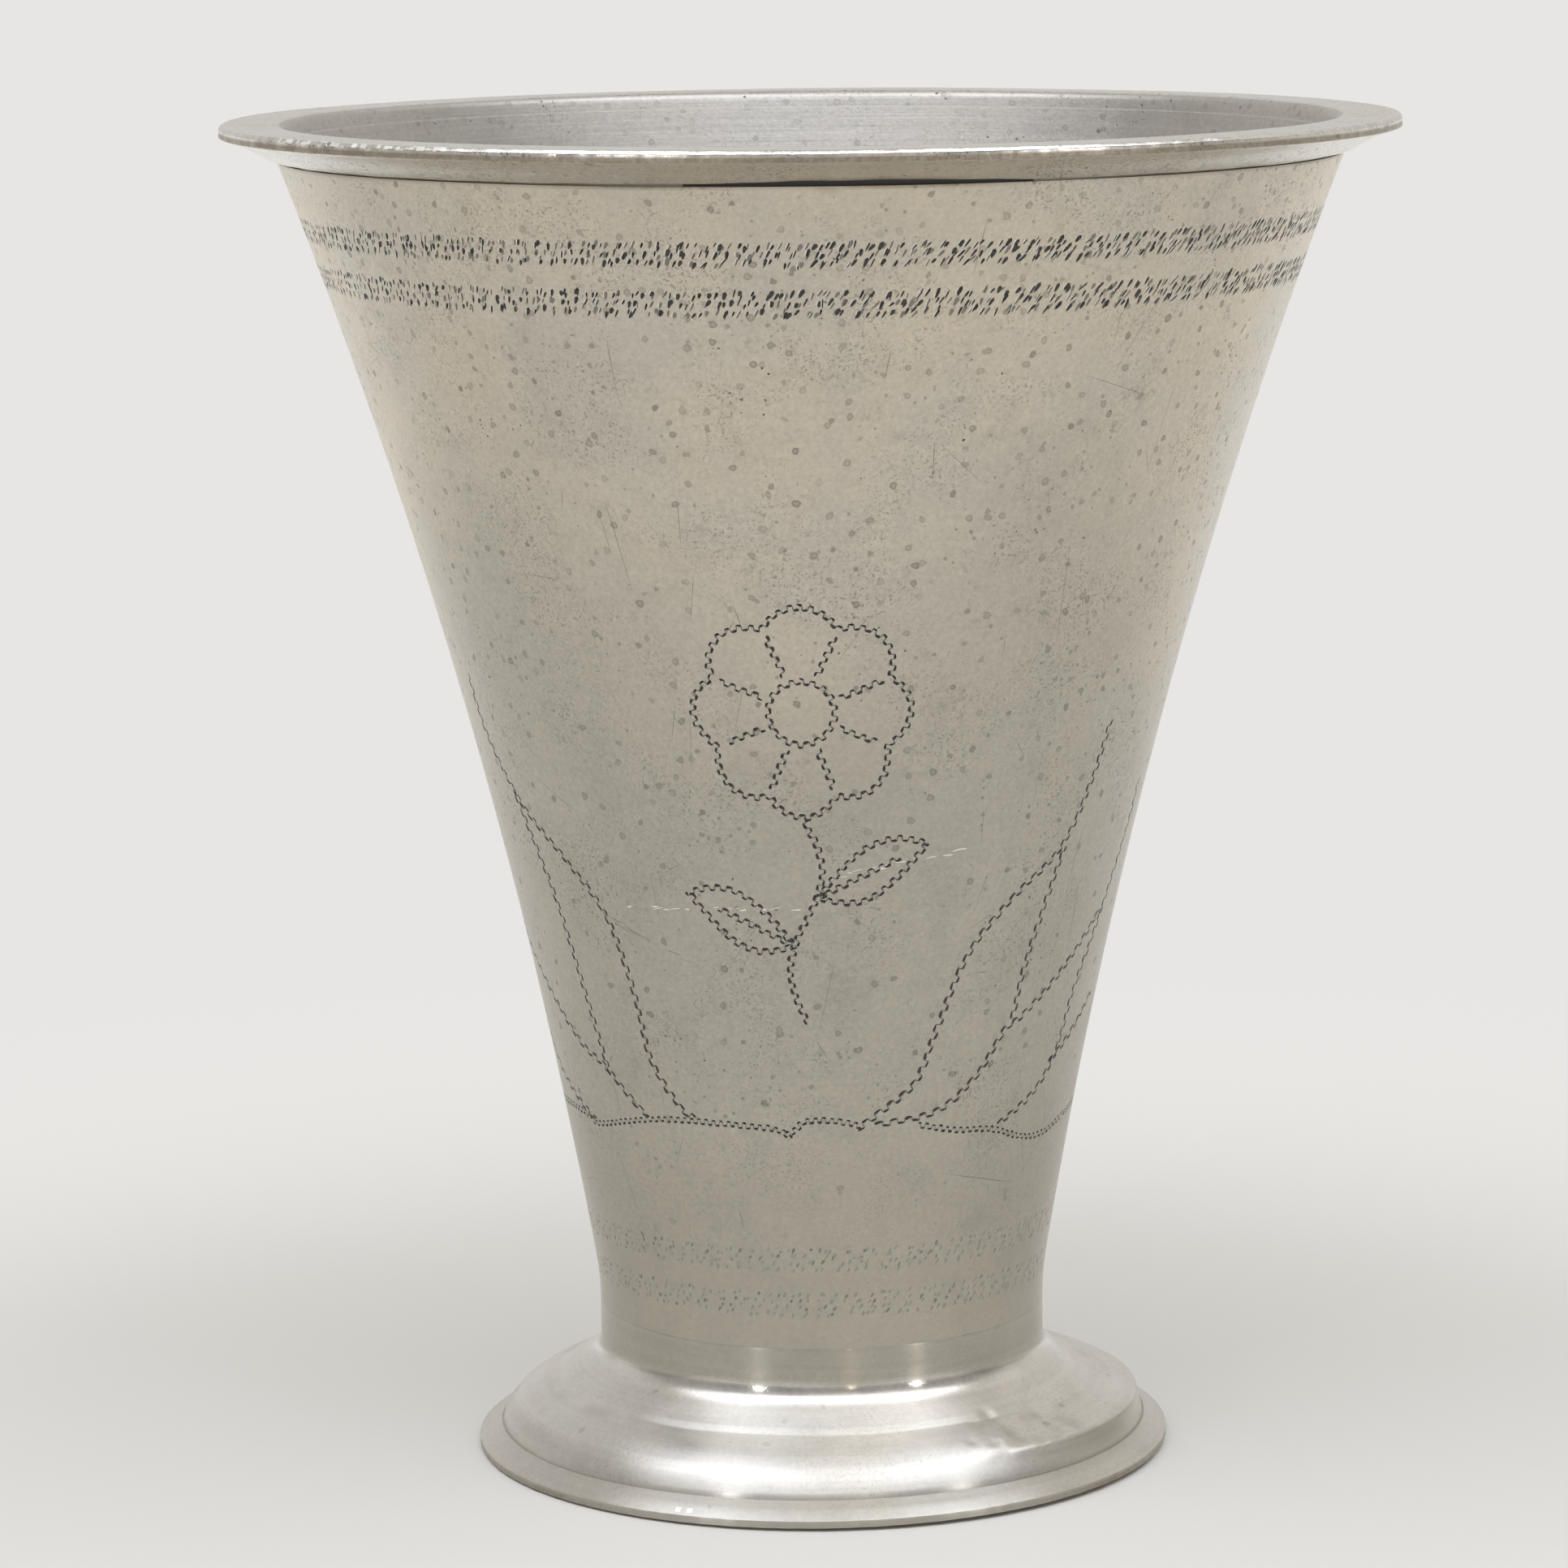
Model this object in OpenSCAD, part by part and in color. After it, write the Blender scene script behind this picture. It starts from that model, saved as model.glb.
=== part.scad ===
// Pewter goblet: a tall trumpet-shaped bowl on a low turned foot, with an applied flat lip.
// The pieces are cast, turned about the Z axis and soldered together, so nothing moves.
// Z = 0 is the surface that the foot stands on. Sizes are in millimetres.

/* [Overall] */
// Height from the resting face to the top of the lip
goblet_h = 170; // [155:1:190]
// Outside diameter of the lip
lip_d = 147.4; // [130:0.2:165]
// Diameter of the foot at its resting edge
foot_d = 88.8; // [84:0.2:104]
// Thickness of the solder films in the joints
solder_t = 0.15; // [0.1:0.01:0.25]

/* [Bowl wall] */
// Thickness of the wall
wall_t = 2.2; // [1.8:0.1:2.8]
// Outside diameter of the wall's lower end, at the waist
waist_d = 57; // [52:0.5:62]
// Height of the joint between the wall and the foot
joint_z = 18.9; // [17:0.1:24]
// Radius of the short curve with which the wall leaves the waist
waist_curve_r = 35; // [15:1:70]
// Angle from upright at which that curve runs into the long flare
flare_angle = 9.3; // [6:0.1:13]

/* [Rim ring] */
// How far the lip stands out beyond the wall's upper end
lip_reach = 7; // [5:0.1:10]
// Thickness of the lip at its outer edge
lip_edge_t = 1.5; // [1.2:0.1:2.4]
// How far the underside of the lip falls from its edge to the skirt
lip_fall = 2.1; // [1.5:0.1:3.5]
// Radius of the rounded upper edge of the lip
lip_round = 0.6; // [0.2:0.1:1]
// Radius of the rounded inner edge of the mouth
mouth_round = 1.4; // [0.4:0.1:1.8]
// Thickness of the skirt that hangs round the tongue
skirt_t = 1.2; // [0.8:0.1:2]
// Height of the open groove between the skirt and the wall
rim_groove_h = 0.6; // [0.3:0.1:1.2]
// Height of the tongue on top of the wall
tongue_h = 1.9; // [1.4:0.1:2.4]
// Thickness of the tongue at its top
tongue_t = 0.9; // [0.6:0.1:1.1]

/* [Bowl floor] */
// Thickness of the floor disc
floor_t = 2; // [1.5:0.1:3]
// Width of the ledge in the wall that the floor is pushed up against
ledge_w = 0.6; // [0.4:0.1:0.9]
// Free height between the floor and the foot's spigot
floor_gap = 0.8; // [0.4:0.1:2]

/* [Foot] */
// How far the foot's spigot reaches up inside the wall
spigot_h = 2; // [1.2:0.1:3]
// Thickness of the spigot
spigot_t = 1.6; // [1.2:0.1:2.4]
// Thickness of the hollow foot's shell
foot_t = 2.2; // [1.6:0.1:2.6]
// Radius of the cove between the collar and the shoulder
cove_r = 4.5; // [2:0.1:5]
// Height at which the shoulder's slope would meet the collar
shoulder_top_z = 12.45; // [11.5:0.05:13.5]
// Width of the shoulder, from the collar to its outer edge
shoulder_w = 4.7; // [4:0.1:6]
// Height of the shoulder's outer edge
shoulder_z = 9.5; // [8.8:0.1:10.4]
// Height of the small step under the shoulder
step_h = 0.35; // [0.2:0.05:0.6]
// Width of that step
step_w = 0.2; // [0.1:0.05:0.5]
// Width of the ovolo above the groove
ovolo_w = 4.4; // [3.4:0.1:5.4]
// Height of the ovolo's upper end
ovolo_z = 7.6; // [6.6:0.1:8.4]
// Bulge of the ovolo beyond a straight slope
ovolo_bulge = 0.6; // [0.3:0.05:0.9]
// Radius of the turned groove above the flange
groove_r = 0.35; // [0.2:0.05:0.6]
// Height of that groove
groove_z = 3; // [2.4:0.1:3.8]
// Width of the flange outside the groove
flange_w = 3; // [2:0.1:4.5]
// Height of the flange's outer edge
edge_h = 0.95; // [0.6:0.05:1.6]
// Radius of the flange's rounded upper edge
edge_round = 0.5; // [0.2:0.05:0.8]
// Width of the resting face
rest_w = 4.3; // [3.2:0.1:5]

/* [Hidden] */

$fn = 180;
flare_fn = 1440;
pewter = "#aaa394";
pewter_inside = "#a39f95";
pewter_foot = "#b0aa9c";
solder_grey = "#8c8a84";
beyond = 20;

lip_r = lip_d / 2;
foot_r = foot_d / 2;
waist_r = waist_d / 2;
mouth_r = lip_r - lip_reach;

// Heights of the rim joint, downwards from the lip
lip_edge_z = goblet_h - lip_edge_t;
skirt_z = lip_edge_z - lip_fall;
rim_shoulder_z = skirt_z - rim_groove_h;
tongue_z = rim_shoulder_z + tongue_h;
ring_seat_z = tongue_z + solder_t;

// Heights of the joint at the foot, upwards from the joint
collar_z = joint_z - solder_t;
spigot_z = joint_z + spigot_h;
floor_z = spigot_z + floor_gap;
floor_top_z = floor_z + floor_t;
ledge_z = floor_top_z + solder_t;

// The wall's outside is two arcs: a short one that leaves the waist upright, and a long
// flare that goes on from it without a kink and ends at the mouth
turn = [cos(flare_angle), -sin(flare_angle)];
waist_centre = [waist_r + waist_curve_r, joint_z];
tangent_point = waist_centre - waist_curve_r * turn;
to_mouth = [mouth_r, rim_shoulder_z] - tangent_point;
flare_r = (to_mouth * to_mouth) / (2 * to_mouth * turn);
flare_centre = tangent_point + flare_r * turn;
inside_tangent_z = tangent_point.y + wall_t * sin(flare_angle);

// Radius of the wall's inside at height z
function inside_r(z) = z < inside_tangent_z
    ? waist_centre.x - sqrt(pow(waist_curve_r + wall_t, 2) - pow(z - waist_centre.y, 2))
    : flare_centre.x - sqrt(pow(flare_r + wall_t, 2) - pow(z - flare_centre.y, 2));

// Angle of the wall's inside from upright at height z, on the flare
function flare_lean(z) = asin((z - flare_centre.y) / (flare_r + wall_t));

// Radii of the joints
tongue_r = inside_r(tongue_z) + tongue_t;
ring_bore_r = tongue_r + solder_t;
skirt_r = ring_bore_r + skirt_t;
ledge_r = inside_r(ledge_z);
socket_r = ledge_r + ledge_w;
floor_r = socket_r - solder_t;
spigot_r = socket_r - solder_t;
foot_bore_r = spigot_r - spigot_t;

// Corners of the foot's moulding: the shoulder, the step, the terrace below it and the
// ovolo, which ends in the groove
shoulder_edge = [waist_r + shoulder_w, shoulder_z];
shoulder_slope = atan((shoulder_top_z - shoulder_z) / shoulder_w);
terrace_head = shoulder_edge + [step_w, -step_h];
ovolo_foot = [foot_r - flange_w, groove_z];
ovolo_head = [ovolo_foot.x - ovolo_w, ovolo_z];
terrace_slope = atan((terrace_head.y - ovolo_head.y) / (ovolo_head.x - terrace_head.x));

// The cove touches the upright collar and the shoulder's slope
cove_run = cove_r / tan(45 + shoulder_slope / 2);
cove_centre = [waist_r + cove_r, shoulder_top_z + cove_run];
cove_foot = [waist_r, shoulder_top_z] + cove_run * [cos(shoulder_slope), -sin(shoulder_slope)];

// The ovolo's arc runs through both of its corners
ovolo_chord = norm(ovolo_head - ovolo_foot);
ovolo_r = (pow(ovolo_chord / 2, 2) + pow(ovolo_bulge, 2)) / (2 * ovolo_bulge);
ovolo_out = [ovolo_head.y - ovolo_foot.y, ovolo_foot.x - ovolo_head.x] / ovolo_chord;
ovolo_centre = (ovolo_head + ovolo_foot) / 2 - (ovolo_r - ovolo_bulge) * ovolo_out;
ovolo_angle = atan2(ovolo_out.x, ovolo_out.y);

// What lies between an outer corner and the arc of radius r that rounds it, and a little
// past the corner; u and v are the unit directions of the two edges that leave the corner
module corner(at, u, v, r) {
    half_angle = acos(u * v) / 2;
    along = r / tan(half_angle);
    inwards = (u + v) / norm(u + v);
    centre = at + inwards * r / sin(half_angle);
    difference() {
        polygon([at - r * inwards, at + along * u, centre, at + along * v]);
        translate(centre) circle(r);
    }
}

// Everything inside radius r, from height low to height high
module slab(r, low, high) {
    translate([0, low]) square([r, high - low]);
}

// Everything inside the wall's curve, when that is moved inwards by this much: left of the
// waist's arc below the line through both centres, and left of the flare's arc above it
module inside_curve(inwards) {
    line_start = tangent_point - goblet_h * turn;
    up = [0, 2 * flare_r];
    difference() {
        polygon([[0, joint_z], waist_centre, [waist_centre.x + lip_r, tongue_z], [0, tongue_z]]);
        translate(waist_centre) circle(waist_curve_r + inwards);
        intersection() {
            translate(flare_centre) circle(flare_r + inwards, $fn = flare_fn);
            polygon([line_start, flare_centre, flare_centre + up, line_start + up]);
        }
    }
}

module wall_section() {
    difference() {
        inside_curve(0);
        inside_curve(wall_t);
        slab(socket_r, joint_z - beyond, ledge_z);
        translate([tongue_r, rim_shoulder_z]) square([lip_r, tongue_h + beyond]);
    }
}

module rim_section() {
    seat_r = inside_r(ring_seat_z);
    lean = flare_lean(ring_seat_z);
    mouth_top_r = seat_r + (goblet_h - ring_seat_z) * tan(lean);
    difference() {
        polygon([
            [seat_r, ring_seat_z],
            [ring_bore_r, ring_seat_z],
            [ring_bore_r, skirt_z],
            [skirt_r, skirt_z],
            [lip_r, lip_edge_z],
            [lip_r, goblet_h],
            [mouth_top_r, goblet_h]
        ]);
        corner([lip_r, goblet_h], [-1, 0], [0, -1], lip_round);
        corner([mouth_top_r, goblet_h], [1, 0], [-sin(lean), -cos(lean)], mouth_round);
    }
}

// A step of foot_t straight inwards from a surface that falls outwards at this angle
function under(angle) = -foot_t * [sin(angle), cos(angle)];

module foot_hollow() {
    collar_rise = (waist_r - foot_bore_r) * tan(shoulder_slope);
    polygon([
        [-beyond, spigot_z + beyond],
        [foot_bore_r, spigot_z + beyond],
        [foot_bore_r, shoulder_top_z + collar_rise - foot_t / cos(shoulder_slope)],
        shoulder_edge + under((shoulder_slope + terrace_slope) / 2),
        ovolo_head + under((terrace_slope + ovolo_angle) / 2),
        ovolo_foot + under(ovolo_angle),
        [foot_r - rest_w, 0],
        [foot_r - rest_w, -beyond],
        [-beyond, -beyond]
    ]);
}

module foot_section() {
    flange_run = ovolo_foot - [foot_r, edge_h];
    difference() {
        union() {
            slab(spigot_r, groove_z, spigot_z);
            slab(waist_r, groove_z, collar_z);
            polygon([
                [0, groove_z],
                [ovolo_head.x, groove_z],
                ovolo_head,
                terrace_head,
                shoulder_edge,
                cove_foot,
                cove_centre,
                [waist_r, cove_centre.y],
                [0, cove_centre.y]
            ]);
            intersection() {
                translate(ovolo_centre) circle(ovolo_r);
                slab(foot_r, groove_z, ovolo_z);
            }
            polygon([[0, 0], [foot_r, 0], [foot_r, edge_h], ovolo_foot, [0, groove_z]]);
        }
        foot_hollow();
        translate(cove_centre) circle(cove_r);
        translate(ovolo_foot) circle(groove_r);
        corner([foot_r, edge_h], [0, -1], flange_run / norm(flange_run), edge_round);
    }
}

module bowl_wall() {
    color(pewter) rotate_extrude() wall_section();
}

module bowl_floor() {
    color(pewter_inside) translate([0, 0, floor_z]) cylinder(r = floor_r, h = floor_t);
}

module rim_ring() {
    color(pewter) rotate_extrude() rim_section();
}

module foot() {
    color(pewter_foot) rotate_extrude() foot_section();
}

module rim_solder() {
    color(solder_grey) rotate_extrude() polygon([
        [inside_r(tongue_z), tongue_z],
        [tongue_r, tongue_z],
        [tongue_r, skirt_z],
        [ring_bore_r, skirt_z],
        [ring_bore_r, ring_seat_z],
        [inside_r(ring_seat_z), ring_seat_z]
    ]);
}

module floor_solder() {
    color(solder_grey) rotate_extrude() polygon([
        [ledge_r, floor_top_z],
        [floor_r, floor_top_z],
        [floor_r, floor_z],
        [socket_r, floor_z],
        [socket_r, ledge_z],
        [ledge_r, ledge_z]
    ]);
}

module foot_solder() {
    color(solder_grey) rotate_extrude() polygon([
        [spigot_r, collar_z],
        [waist_r, collar_z],
        [waist_r, joint_z],
        [socket_r, joint_z],
        [socket_r, spigot_z],
        [spigot_r, spigot_z]
    ]);
}

bowl_wall();
bowl_floor();
rim_ring();
foot();
rim_solder();
floor_solder();
foot_solder();
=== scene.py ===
"""Looks of a trumpet-shaped pewter goblet: engraved wall, flat lip, floor, solder and turned foot."""

from __future__ import annotations

import logging
import math
from abc import ABC, abstractmethod
from dataclasses import dataclass
from enum import Enum
from typing import Any, Mapping, Optional, Sequence, Union

import bmesh
import bpy
import numpy as np
from mathutils import Matrix, Vector
from mathutils.geometry import delaunay_2d_cdt

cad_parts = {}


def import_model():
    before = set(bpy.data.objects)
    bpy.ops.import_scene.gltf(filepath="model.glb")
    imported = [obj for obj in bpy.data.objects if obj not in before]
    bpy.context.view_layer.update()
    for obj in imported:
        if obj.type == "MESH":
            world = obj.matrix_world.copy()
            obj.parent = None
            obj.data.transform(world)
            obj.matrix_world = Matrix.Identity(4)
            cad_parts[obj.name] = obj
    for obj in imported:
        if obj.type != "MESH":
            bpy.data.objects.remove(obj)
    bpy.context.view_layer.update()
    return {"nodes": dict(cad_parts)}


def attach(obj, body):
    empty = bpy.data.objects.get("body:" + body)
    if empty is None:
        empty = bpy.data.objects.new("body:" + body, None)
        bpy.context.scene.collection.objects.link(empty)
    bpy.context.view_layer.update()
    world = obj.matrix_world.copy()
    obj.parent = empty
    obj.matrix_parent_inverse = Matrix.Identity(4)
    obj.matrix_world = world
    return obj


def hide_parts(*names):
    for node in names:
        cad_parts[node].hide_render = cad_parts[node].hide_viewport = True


LOG = logging.getLogger("goblet")
IMAGE_SIDE = 1932
MM = 0.001
TURN = 2 * math.pi
BODY = "root"
SHARP_ANGLE = math.radians(38)
STRAIGHT = 0.499 * math.pi
SLOPE_STEP = 0.05
WAVE_TILT = 0.05
WELD_MM = 0.002

Array = np.ndarray
Colour = tuple[float, float, float]
Corner = tuple[float, float, float]
Point = tuple[float, float]
Line = Sequence[Point]
Nick = tuple[float, float, float]
Knock = tuple[float, float, float, float]
Place = tuple[float, float, float]
Number = Union["Signal", float]


class Cut(Enum):
    """How a cut in the wall looks today; the value is the mesh's material index."""

    DARK = 2
    WORN = 3
    # Bright scuffs, and painted highlights beside punched marks.
    SCUFF_AND_GLINT = 4
    FAINT = 5


class Signal:
    """A node's output socket; arithmetic on it adds Math nodes to its tree."""

    def __init__(self, graph: "Graph", socket: bpy.types.NodeSocket) -> None:
        """Keep the tree that the socket belongs to.

        Args:
            graph: Graph that new nodes are added to.
            socket: Output socket that gives the value.
        """
        self.graph = graph
        self.socket = socket

    def _math(self, operation: str, *values: Number) -> "Signal":
        """Add one Math node.

        Args:
            operation: The node's operation.
            values: Its inputs in order.

        Returns:
            The node's result.
        """
        return self.graph.node("ShaderNodeMath", {"operation": operation}, dict(enumerate(values)))

    def __add__(self, other: Number) -> "Signal":
        """This value plus another."""
        return self._math("ADD", self, other)

    __radd__ = __add__

    def __sub__(self, other: Number) -> "Signal":
        """This value less another."""
        return self._math("SUBTRACT", self, other)

    def __rsub__(self, other: Number) -> "Signal":
        """Another value less this one."""
        return self._math("SUBTRACT", other, self)

    def __mul__(self, other: Number) -> "Signal":
        """This value times another."""
        return self._math("MULTIPLY", self, other)

    __rmul__ = __mul__

    def __pow__(self, power: Number) -> "Signal":
        """This value raised to a power."""
        return self._math("POWER", self, power)

    def __rpow__(self, base: Number) -> "Signal":
        """Another value raised to this power."""
        return self._math("POWER", base, self)

    def step(self, low: float, high: float) -> "Signal":
        """Smooth step of this value.

        Args:
            low: Where it is 0; this may be the larger.
            high: Where it is 1.

        Returns:
            The step, from 0 to 1.
        """
        return self.graph.node(
            "ShaderNodeMapRange",
            {"interpolation_type": "SMOOTHSTEP"},
            {"Value": self, "From Min": low, "From Max": high},
        )


class Graph:
    """A node tree that is written as expressions."""

    def __init__(self, tree: bpy.types.NodeTree) -> None:
        """Empty the tree.

        Args:
            tree: Node tree of a material or a world.
        """
        self.tree = tree
        tree.nodes.clear()

    @staticmethod
    def _socket(sockets: Sequence[bpy.types.NodeSocket], key: Union[str, int]) -> bpy.types.NodeSocket:
        """Find a socket.

        Args:
            sockets: Inputs or outputs of a node.
            key: Index, identifier or name; identifiers go before names.

        Returns:
            The socket.
        """
        if isinstance(key, int):
            return sockets[key]
        return {**{s.name: s for s in reversed(sockets)}, **{s.identifier: s for s in sockets}}[key]

    def node(
        self,
        kind: str,
        settings: Optional[Mapping[str, Any]] = None,
        inputs: Optional[Mapping[Union[str, int], Any]] = None,
        output: Union[str, int] = 0,
    ) -> Signal:
        """Add a node, set it up, then fill its sockets.

        Args:
            kind: Node type.
            settings: Properties of the node, set first.
            inputs: Values or links of its input sockets.
            output: The output that is returned.

        Returns:
            That output; an output node has none.
        """
        made = self.tree.nodes.new(kind)
        for name, value in (settings or {}).items():
            setattr(made, name, value)
        for key, value in (inputs or {}).items():
            socket = self._socket(made.inputs, key)
            if isinstance(value, Signal):
                self.tree.links.new(value.socket, socket)
            else:
                socket.default_value = value
        return Signal(self, self._socket(made.outputs, output) if made.outputs else None)

    def axes(self, at: Signal) -> list[Signal]:
        """The X, Y and Z of a vector."""
        split = self.node("ShaderNodeSeparateXYZ", {}, {"Vector": at})
        return [Signal(self, socket) for socket in split.socket.node.outputs]

    def noise(self, at: Signal, scale: float, detail: float = 3.0, rough: float = 0.5) -> Signal:
        """Noise from 0 to 1 with this many features per unit of the coordinate."""
        values = {"Vector": at, "Scale": scale, "Detail": detail, "Roughness": rough}
        return self.node("ShaderNodeTexNoise", {}, values)

    def cells(self, at: Signal, scale: float) -> tuple[Signal, Signal]:
        """Scattered points.

        Args:
            at: The coordinate.
            scale: Points per unit of the coordinate.

        Returns:
            Distance to the nearest point, and that point's own random value from 0 to 1.
        """
        distance = self.node("ShaderNodeTexVoronoi", {}, {"Vector": at, "Scale": scale})
        colour = Signal(self, distance.socket.node.outputs["Color"])
        return distance, self.node("ShaderNodeSeparateColor", {}, {"Color": colour})

    def blend(self, factor: Number, a: Any, b: Any) -> Signal:
        """Colour that goes from a to b as the factor goes from 0 to 1."""
        values = {"Factor_Float": factor, "A_Color": paint(a), "B_Color": paint(b)}
        return self.node("ShaderNodeMix", {"data_type": "RGBA"}, values, "Result_Color")

    def dim(self, colour: Signal, by: Signal) -> Signal:
        """Colour multiplied by a value."""
        return self.node("ShaderNodeVectorMath", {"operation": "SCALE"}, {"Vector": colour, "Scale": by})


def paint(colour: Any) -> Any:
    """A colour with its alpha, or a link as it is."""
    return colour if isinstance(colour, Signal) else (*colour, 1.0)


@dataclass(frozen=True)
class Finish(ABC):
    """A surface of the goblet: one material with one shader."""

    name: str

    @abstractmethod
    def inputs(self, graph: Graph) -> dict[str, Any]:
        """What goes into the shader.

        Args:
            graph: Graph of the material.

        Returns:
            Values or links, by the name of the shader's socket.
        """

    def material(self) -> bpy.types.Material:
        """Build the material.

        Returns:
            The material, with its shader filled from the inputs.
        """
        made = bpy.data.materials.new(self.name)
        made.use_nodes = True
        graph = Graph(made.node_tree)
        shader = graph.node("ShaderNodeBsdfPrincipled", {}, self.inputs(graph))
        graph.node("ShaderNodeOutputMaterial", {}, {"Surface": shader})
        return made


@dataclass(frozen=True)
class Pewter(Finish):
    """Aged pewter: warm and cool grey mottle, stains, pits, ring-shaped spots and turning lines; its brown
    and dull films also paint shade where a piece's attributes ask for it.

    A scale is a noise's features per metre; the other plain numbers say how strong a mark is.
    """

    warm: Colour = (0.602, 0.540, 0.438)
    cool: Colour = (0.566, 0.525, 0.449)
    stain: Colour = (0.26, 0.24, 0.20)
    pit: Colour = (0.12, 0.11, 0.095)
    grime: Colour = (0.23, 0.185, 0.125)
    patina: Colour = (0.456, 0.430, 0.370)
    roughness: float = 0.38
    turning: float = 0.15
    pitting: float = 1.0
    spots: float = 1.0
    specks: float = 1.0
    relief: float = 0.05
    grooved: float = 0.0

    mottle_scale: float = 42.0
    cloud_scale: float = 160.0
    grain_scale: float = 1600.0
    pit_scale: float = 850.0
    pit_patch_scale: float = 75.0
    pit_r: float = 0.30
    speck_scale: float = 2800.0
    speck_patch_scale: float = 95.0
    blotch_scale: float = 430.0
    blotch_patch_scale: float = 60.0
    spot_scale: float = 430.0
    spot_edge_scale: float = 1300.0
    spot_ragged: float = 0.34
    spot_span: Point = (0.04, 0.12)
    turning_scale: float = 900.0
    turning_drift: float = 0.02
    groove_turn: float = 0.25

    def _pits(self, graph: Graph, at: Signal) -> Signal:
        """Small round pits near scattered points, larger where a coarse noise is high.

        Args:
            graph: Graph of the material.
            at: The coordinate.

        Returns:
            1 in a pit, 0 beside it.
        """
        distance, pick = graph.cells(at, self.pit_scale)
        cluster = graph.noise(at, self.pit_patch_scale, 3.0).step(0.44, 0.64)
        size = (pick * self.pit_r) * (cluster * 0.8 + 0.2)
        return (size - distance).step(0.0, 0.07)

    def _specks(self, graph: Graph, at: Signal) -> Signal:
        """Fine dark specks: the peaks of a fine noise, denser in patches of a coarse one."""
        patch = graph.noise(at, self.speck_patch_scale, 3.0, 0.6).step(0.40, 0.68)
        return graph.noise(at, self.speck_scale, 2.0, 0.55).step(0.55, 0.65) * (patch * 0.92 + 0.08)

    def _blotches(self, graph: Graph, at: Signal) -> Signal:
        """Smudges with ragged edges: the peaks of a rough noise inside patches of a coarse one."""
        patch = graph.noise(at, self.blotch_patch_scale, 2.0).step(0.42, 0.62)
        return graph.noise(at, self.blotch_scale, 5.0, 0.7).step(0.56, 0.68) * patch

    def _spots(self, graph: Graph, at: Signal, height: Signal) -> Signal:
        """Grey corrosion spots with a darker edge round scattered points, more of them higher up.

        Args:
            graph: Graph of the material.
            at: The coordinate.
            height: Height above the ground in metres.

        Returns:
            How strong a spot is, 0 beside it.
        """
        distance, pick = graph.cells(at, self.spot_scale)
        ragged = distance + (graph.noise(at, self.spot_edge_scale, 2.0) - 0.5) * self.spot_ragged
        chosen = (pick + height.step(*self.spot_span) * 0.75).step(0.80, 1.0)
        disc = ragged.step(0.235, 0.170)
        core = ragged.step(0.130, 0.080)
        return chosen * (pick * pick * 0.5 + 0.38) * (disc - core * 0.35)

    def inputs(self, graph: Graph) -> dict[str, Any]:
        """Metal whose colour, roughness and bump follow its age.

        Args:
            graph: Graph of the material.

        Returns:
            Values or links, by the name of the shader's socket.
        """
        at = graph.node("ShaderNodeTexCoord", {}, {}, "Object")
        x, y, z = graph.axes(at)
        radius = (x * x + y * y) ** 0.5
        rings = graph.node("ShaderNodeCombineXYZ", {}, {"X": radius, "Y": z, "Z": x * self.turning_drift})
        grime, patina, polish = (
            graph.node("ShaderNodeAttribute", {"attribute_name": name}, {}, "Fac")
            for name in ("grime", "patina", "polish")
        )

        mottle = graph.noise(at, self.mottle_scale, 4.0, 0.55)
        cloud = graph.noise(at, self.cloud_scale, 5.0, 0.62)
        grain = graph.noise(at, self.grain_scale, 3.0, 0.65)
        lathe = graph.noise(rings, self.turning_scale, 3.0, 0.65)
        unpolished = 1.0 - polish
        pits = self._pits(graph, at) * self.pitting * unpolished
        spots = self._spots(graph, at, z) * self.spots * unpolished
        specks = self._specks(graph, at) * self.specks * unpolished
        blotches = self._blotches(graph, at) * self.specks * unpolished

        # Brown film from the piece's attribute: real soil, and painted shade where a piece uses it for
        # shade.
        dirt_and_shade = (grime * (cloud * 0.6 + grain * 1.1 + 0.15)).step(0.0, 1.0)
        colour = graph.blend(mottle.step(0.36, 0.64), self.cool, self.warm)
        # Dull film from the piece's attribute: the metal's own dull film, and painted shade where a piece
        # uses it for shade.
        colour = graph.blend(patina, colour, self.patina)
        colour = graph.blend(cloud.step(0.50, 0.75) * 0.16, colour, self.stain)
        tone = (mottle - 0.5) * 0.20 + (cloud - 0.5) * 0.36
        tone = tone + (grain - 0.5) * (self.specks * 0.35 + 0.2) + (lathe - 0.5) * (self.turning * 0.5)
        colour = graph.dim(colour, tone + 1.0)
        layers = ((specks * 0.95, self.stain), (blotches * 0.35, self.stain), (spots * 0.95, self.stain))
        for share, tint in (*layers, (dirt_and_shade, self.grime), (pits * 0.8, self.pit)):
            colour = graph.blend(share, colour, tint)

        wear = (mottle - 0.5) * 0.14 + (cloud - 0.5) * 0.16 + pits * 0.2 + spots * 0.08
        wear = wear + dirt_and_shade * 0.16 - polish * 0.18
        height = grain * 0.45 + cloud * 0.5 + lathe * self.turning - pits * 1.2 - spots * 0.2
        relief = {"Strength": 1.0, "Distance": self.relief * MM, "Height": height}
        return {
            "Base Color": colour,
            "Metallic": 1.0 - pits * 0.7 - dirt_and_shade * 0.35,
            "Roughness": wear + self.roughness,
            "Anisotropic": self.grooved,
            "Anisotropic Rotation": self.groove_turn,
            "Normal": graph.node("ShaderNodeBump", {}, relief),
        }


@dataclass(frozen=True)
class Tarnish(Finish):
    """Metal of a cut, a scuff or a chip, dark or bright and the same all over; the bright one also paints
    glints and highlights.
    """

    colour: Colour
    roughness: float = 0.6
    metallic: float = 0.4

    def inputs(self, graph: Graph) -> dict[str, Any]:
        """A plain metal; the graph gets no other node."""
        return {"Base Color": paint(self.colour), "Metallic": self.metallic, "Roughness": self.roughness}


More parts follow.
